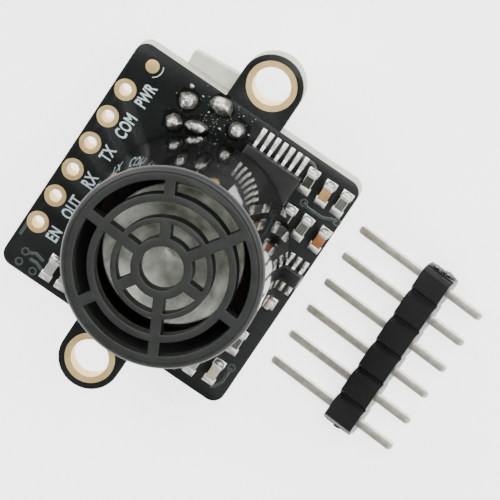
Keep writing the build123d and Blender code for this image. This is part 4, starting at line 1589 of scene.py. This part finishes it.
# --------------------------------------------------------------------------- storage capacitor
@dataclass
class StorageCapacitor:
    """The can-type capacitor on the back that feeds the burst."""

    base_cut: float = 1.3
    soft: float = 0.35
    foot_in: Point2 = (0.25, 0.2)
    groove: float = 0.22
    crimp: tuple[float, ...] = (0.75, 0.95, 1.15, 1.35)
    face_in: Point2 = (0.75, 0.85)
    face_sink: float = 0.05
    # The scores' length as a share of the radius, their width and their thickness.
    scores: tuple[float, float, float] = (1.1, 0.14, 0.03)
    stripe_z: float = 0.045
    stripe_in: float = 0.9
    stripe_share: float = 0.45
    stripe_t: float = 0.008

    def __post_init__(self) -> None:
        """Read the can's place from the frame."""
        self.can = node_box("storage_capacitor_can")
        self.x, self.y = self.can.centre.x, self.can.centre.y
        self.radius = self.can.size.x / 2

    def build(self) -> None:
        """Make the base, the grooved can, its printed stripe and its leads."""
        self._base()
        self._can()
        stripe = Shape()
        edge = math.degrees(math.acos(self.stripe_share))
        low = self.can.low.z + self.stripe_z
        stripe.plate([arc((0, 0), self.radius - self.stripe_in, 180 - edge, 180 + edge, 20)],
                     low, low + self.stripe_t, at(self.x, self.y))
        stripe.piece("capacitor_polarity_mark", [POLARITY_INK])
        leads = Shape()
        for lead in solids_of("storage_capacitor_leads"):
            leads.box(lead.size, lead.foot, bevel=0.03)
        leads.piece("capacitor_leads", [TIN_PLATE], ["storage_capacitor_leads"])

    def _base(self) -> None:
        """Make the base plate with its two cut corners."""
        box = node_box("storage_capacitor_base")
        half, cut = box.size.x / 2, box.size.x / 2 - self.base_cut
        base = Shape()
        base.plate([[(-cut, -half), (half, -half), (half, half), (-cut, half), (-half, cut),
                     (-half, -cut)]], box.low.z, box.high.z, at(self.x, self.y), bevel=0.1,
                   segments=2)
        base.piece("capacitor_base", [BASE_PLASTIC], ["storage_capacitor_base"])

    def _can(self) -> None:
        """Make the can, crimped near its foot, with the three scores of its vent."""
        radius, height, soft = self.radius, self.can.size.z, self.soft
        waist, (crimp_low, in_low, in_high, crimp_high) = radius - self.groove, self.crimp
        face, sunk = height - self.face_sink, radius - self.face_in[1]
        shell = Shape()
        shell.lathe([(0.0, 0.0), (radius - self.foot_in[0], 0.0), (radius, self.foot_in[1]),
                     (radius, crimp_low), (waist, in_low), (waist, in_high), (radius, crimp_high),
                     *[(radius - soft + a, height - soft + b)
                       for a, b in arc((0, 0), soft, 0, 90, 6)],
                     (radius - self.face_in[0], height), (sunk, face), (0.0, face)],
                    at(self.x, self.y, self.can.high.z, flip=True), steps=96)
        share, wide, thick = self.scores
        for turn in (0, 60, 120):
            shell.box((radius * share, wide, thick),
                      at(self.x, self.y, self.can.low.z + thick, turn), bevel=PAD_ROUND,
                      segments=1)
        shell.piece("capacitor_can", [DRAWN_ALUMINIUM], ["storage_capacitor_can"])


# --------------------------------------------------------------------------- loose header
@dataclass
class PinHeader:
    """Six-way breakaway header that leans on its long pins' tips."""

    side_len: float = 2.5
    notch: float = 0.6
    cleft: float = 0.13
    chamfer: float = 0.28
    corner: float = 0.03
    torn: float = 0.3
    torn_r: float = 0.42
    torn_lump: float = 0.55
    # Lumps of each torn face: height along the pins, place across, and size.
    tears: tuple[tuple[float, float, float], ...] = (
        (0.62, 0.08, 1.15), (1.8, -0.15, 1.3), (1.25, 0.25, 0.9))
    pin_side: float = 0.63
    pin_gauge: float = 0.64
    pin_long: float = 6.0
    pin_short: float = 3.17
    pin_edge: float = 0.05
    point: float = 0.25
    point_share: float = 0.62
    roll_deg: float = 0.8

    def __post_init__(self) -> None:
        """Find the leaning header's own axes and its pitch."""
        self.box = node_box("header_strip_body")
        self.pins = solids_of("header_strip_pins")
        self.pitch = (self.pins[-1].centre.y - self.pins[0].centre.y) / (len(self.pins) - 1)
        lean = math.atan2((self.side_len - self.pin_gauge) / 2, self.pin_long - self.point)
        foot_x = self.box.low.x + self.side_len * math.sin(lean)
        self.place = (at(foot_x, self.box.centre.y, self.box.low.z)
                      @ Matrix.Rotation(-lean, 4, "Y") @ at(z=self.side_len / 2))

    def build_moulding(self) -> None:
        """Make the moulding with its V notches and the torn faces at both ends."""
        top = self.side_len / 2
        low, cut, flank = top - self.notch, self.cleft, self.cleft + self.chamfer
        edges = [(i - len(self.pins) / 2) * self.pitch for i in range(len(self.pins) + 1)]
        edges[0] += self.torn / 2
        edges[-1] -= self.torn / 2
        upper = [(low, edges[0])]
        for start, end in zip(edges, edges[1:]):
            upper += [(low, start + cut), (top - self.chamfer, start + cut), (top, start + flank),
                      (top, end - flank), (top - self.chamfer, end - cut), (low, end - cut)]
        upper.append((low, edges[-1]))
        strip = Shape()
        strip.plate([upper + [(-z, y) for z, y in reversed(upper)]], 0.0, self.side_len,
                    self.place @ Matrix.Rotation(math.pi / 2, 4, "Y"), bevel=self.corner,
                    segments=2)
        for side in (-1, 1):
            for index in range(len(self.tears)):
                self._tear(strip, side, index)
        strip.piece("header_moulding", [HEADER_NYLON, TORN_NYLON], ["header_strip_body"],
                    body=Carrier.LOOSE_HEADER)

    def _tear(self, strip: Shape, side: int, index: int) -> None:
        """Add one torn lump of nylon.

        Args:
            strip: the shape that takes it.
            side: 1 for the end towards +Y, -1 for the other.
            index: which lump it is.
        """
        x, z, size = self.tears[index]
        part = bmesh.new()
        bmesh.ops.create_icosphere(part, subdivisions=3, radius=self.torn_r)
        for vertex in part.verts:
            push = noise.noise(vertex.co * 7 + Vector((index, side, 0.4)))
            vertex.co *= 1 + self.torn_lump * push
        bmesh.ops.scale(part, vec=(size, self.torn * (1 + index * 0.3), size * 0.9),
                        verts=part.verts)
        torn_y = side * (self.box.size.y / 2 - self.torn / 3)
        strip.absorb(part, self.place @ at(x, torn_y, z), 1)

    def _pin(self, pins: Shape, index: int) -> None:
        """Add one square pin with coined points at both ends.

        Args:
            pins: the shape that takes it.
            index: which pin it is.
        """
        length = self.pin_long + self.side_len + self.pin_short
        part = bmesh.new()
        bmesh.ops.create_cube(part, size=1.0)
        bmesh.ops.scale(part, vec=(length, self.pin_side, self.pin_side), verts=part.verts)
        ends = [f for f in part.faces if abs(f.normal.x) > 0.9]
        inset = bmesh.ops.inset_region(part, faces=ends, depth=0.0,
                                       thickness=self.point * self.point_share)
        sides = {v for f in inset["faces"] for v in f.verts} - {v for f in ends for v in f.verts}
        for vertex in sides:
            vertex.co.x -= math.copysign(self.point, vertex.co.x)
        for face in ends:
            face.material_index = 1 if face.calc_center_median().x > 0 else 0
        along = [e for e in part.edges if abs((e.verts[0].co - e.verts[1].co).x) > 1]
        round_edges(part, along, self.pin_edge, 2)
        roll = Matrix.Rotation(math.radians(self.roll_deg * math.sin(index * 1.9)), 4, "X")
        middle = (self.side_len + self.pin_short - self.pin_long) / 2
        seat = at(middle, self.pins[index].centre.y - self.box.centre.y)
        pins.absorb(part, self.place @ seat @ roll, skin=None)

    def build(self) -> None:
        """Make the whole header."""
        self.build_moulding()
        pins = Shape()
        for index in range(len(self.pins)):
            self._pin(pins, index)
        pins.piece("header_pins", [PIN_TIN, SHEARED_METAL], ["header_strip_pins"],
                   body=Carrier.LOOSE_HEADER, sharp=30)


# --------------------------------------------------------------------------- studio
@dataclass
class Studio:
    """Pale floor, soft light and the camera."""

    azimuth: float = 176.6
    elevation: float = 73.25
    roll: float = -142.45
    target_mm: tuple[float, float, float] = (5.57, 0.80, -0.34)
    distance_mm: float = 500.0
    lens: float = 467.8
    sensor: float = 36.0
    sight: Point2 = (0.01, 20.0)
    floor_half: float = 1.5
    sky: float = 0.13
    panel_side: float = 0.35
    panel_away: float = 0.55
    # Direction, height above the horizon in degrees, and watts.
    panels: tuple[tuple[float, float, float], ...] = (
        (165.0, 42.0, 3.2), (70.0, 58.0, 3.3), (255.0, 22.0, 0.9), (345.0, 38.0, 1.8))

    def build_camera(self) -> None:
        """Make the camera that looks at the object from nearly above."""
        data = bpy.data.cameras.new("studio_camera")
        data.lens, data.sensor_width = self.lens, self.sensor
        data.clip_start, data.clip_end = self.sight
        camera = bpy.data.objects.new("studio_camera", data)
        back = towards(self.azimuth - 90, self.elevation)
        camera.rotation_mode = "QUATERNION"
        camera.location = (Vector(self.target_mm) + back * self.distance_mm) * MM
        roll = Matrix.Rotation(math.radians(self.roll), 3, back).to_quaternion()
        camera.rotation_quaternion = roll @ (-back).to_track_quat("-Z", "Y")
        bpy.context.scene.collection.objects.link(camera)
        bpy.context.scene.camera = camera

    def build_floor(self) -> None:
        """Make the pale floor that the object rests on; it glows a little, like a light table."""
        part = bmesh.new()
        bmesh.ops.create_grid(part, x_segments=1, y_segments=1, size=self.floor_half)
        bmesh.ops.translate(part, vec=(0, 0, CAD_BOX[0].z), verts=part.verts)
        mesh = bpy.data.meshes.new("studio_floor")
        part.to_mesh(mesh)
        part.free()
        mesh.materials.append(FLOOR_SHEET.material())
        floor = bpy.data.objects.new("studio_floor", mesh)
        bpy.context.scene.collection.objects.link(floor)

    def build_light(self) -> None:
        """Make the dim sky and four soft panels round the object."""
        world = bpy.data.worlds.new("studio_world")
        bpy.context.scene.world = world
        world.use_nodes = True
        sky = world.node_tree.nodes["Background"]
        sky.inputs["Color"].default_value = WHITE
        sky.inputs["Strength"].default_value = self.sky
        for index, (direction, height, watts) in enumerate(self.panels):
            data = bpy.data.lights.new(f"panel_{index}", "AREA")
            data.shape = "SQUARE"
            data.size, data.energy = self.panel_side, watts
            lamp = bpy.data.objects.new(f"panel_{index}", data)
            lamp.location = self.panel_away * towards(direction, height)
            lamp.rotation_mode = "QUATERNION"
            lamp.rotation_quaternion = lamp.location.to_track_quat("Z", "Y")
            bpy.context.scene.collection.objects.link(lamp)

    def build(self) -> None:
        """Set up the whole studio."""
        self.build_camera()
        self.build_floor()
        self.build_light()


def main() -> None:
    """Build the studio and every piece in order."""
    logging.basicConfig(level=logging.INFO, format="%(message)s")
    Studio().build()
    board = CircuitBoard()
    board.build()
    Transducer().build()
    SolderWork(board).build()
    for name, side in (("amplifier_chip", Side.FRONT), ("comparator_chip", Side.FRONT),
                       ("controller_chip", Side.BACK), ("regulator_chip", Side.BACK),
                       ("drive_transistor", Side.BACK)):
        MouldedChip(board, name, side).build()
    resistor = (ALUMINA, RESISTOR_GLASS, RESISTOR_GREY, RESISTOR_PALE)
    ceramic = (TAN_CERAMIC, RED_CERAMIC, PALE_CERAMIC)
    for name, side, finishes, pattern in (
            ("front_resistor", Side.FRONT, resistor, (3, 3, 3, 2, 1, 2, 1, 2)),
            ("front_capacitor", Side.FRONT, ceramic, (2, 1, 1, 0)),
            ("back_resistor", Side.BACK, resistor, (1,)),
            ("back_capacitor", Side.BACK, ceramic, (0, 1))):
        ChipParts(board, name, side, finishes, pattern).build()
    Transformer().build()
    StorageCapacitor().build()
    PinHeader().build()


if __name__ == "__main__":
    main()
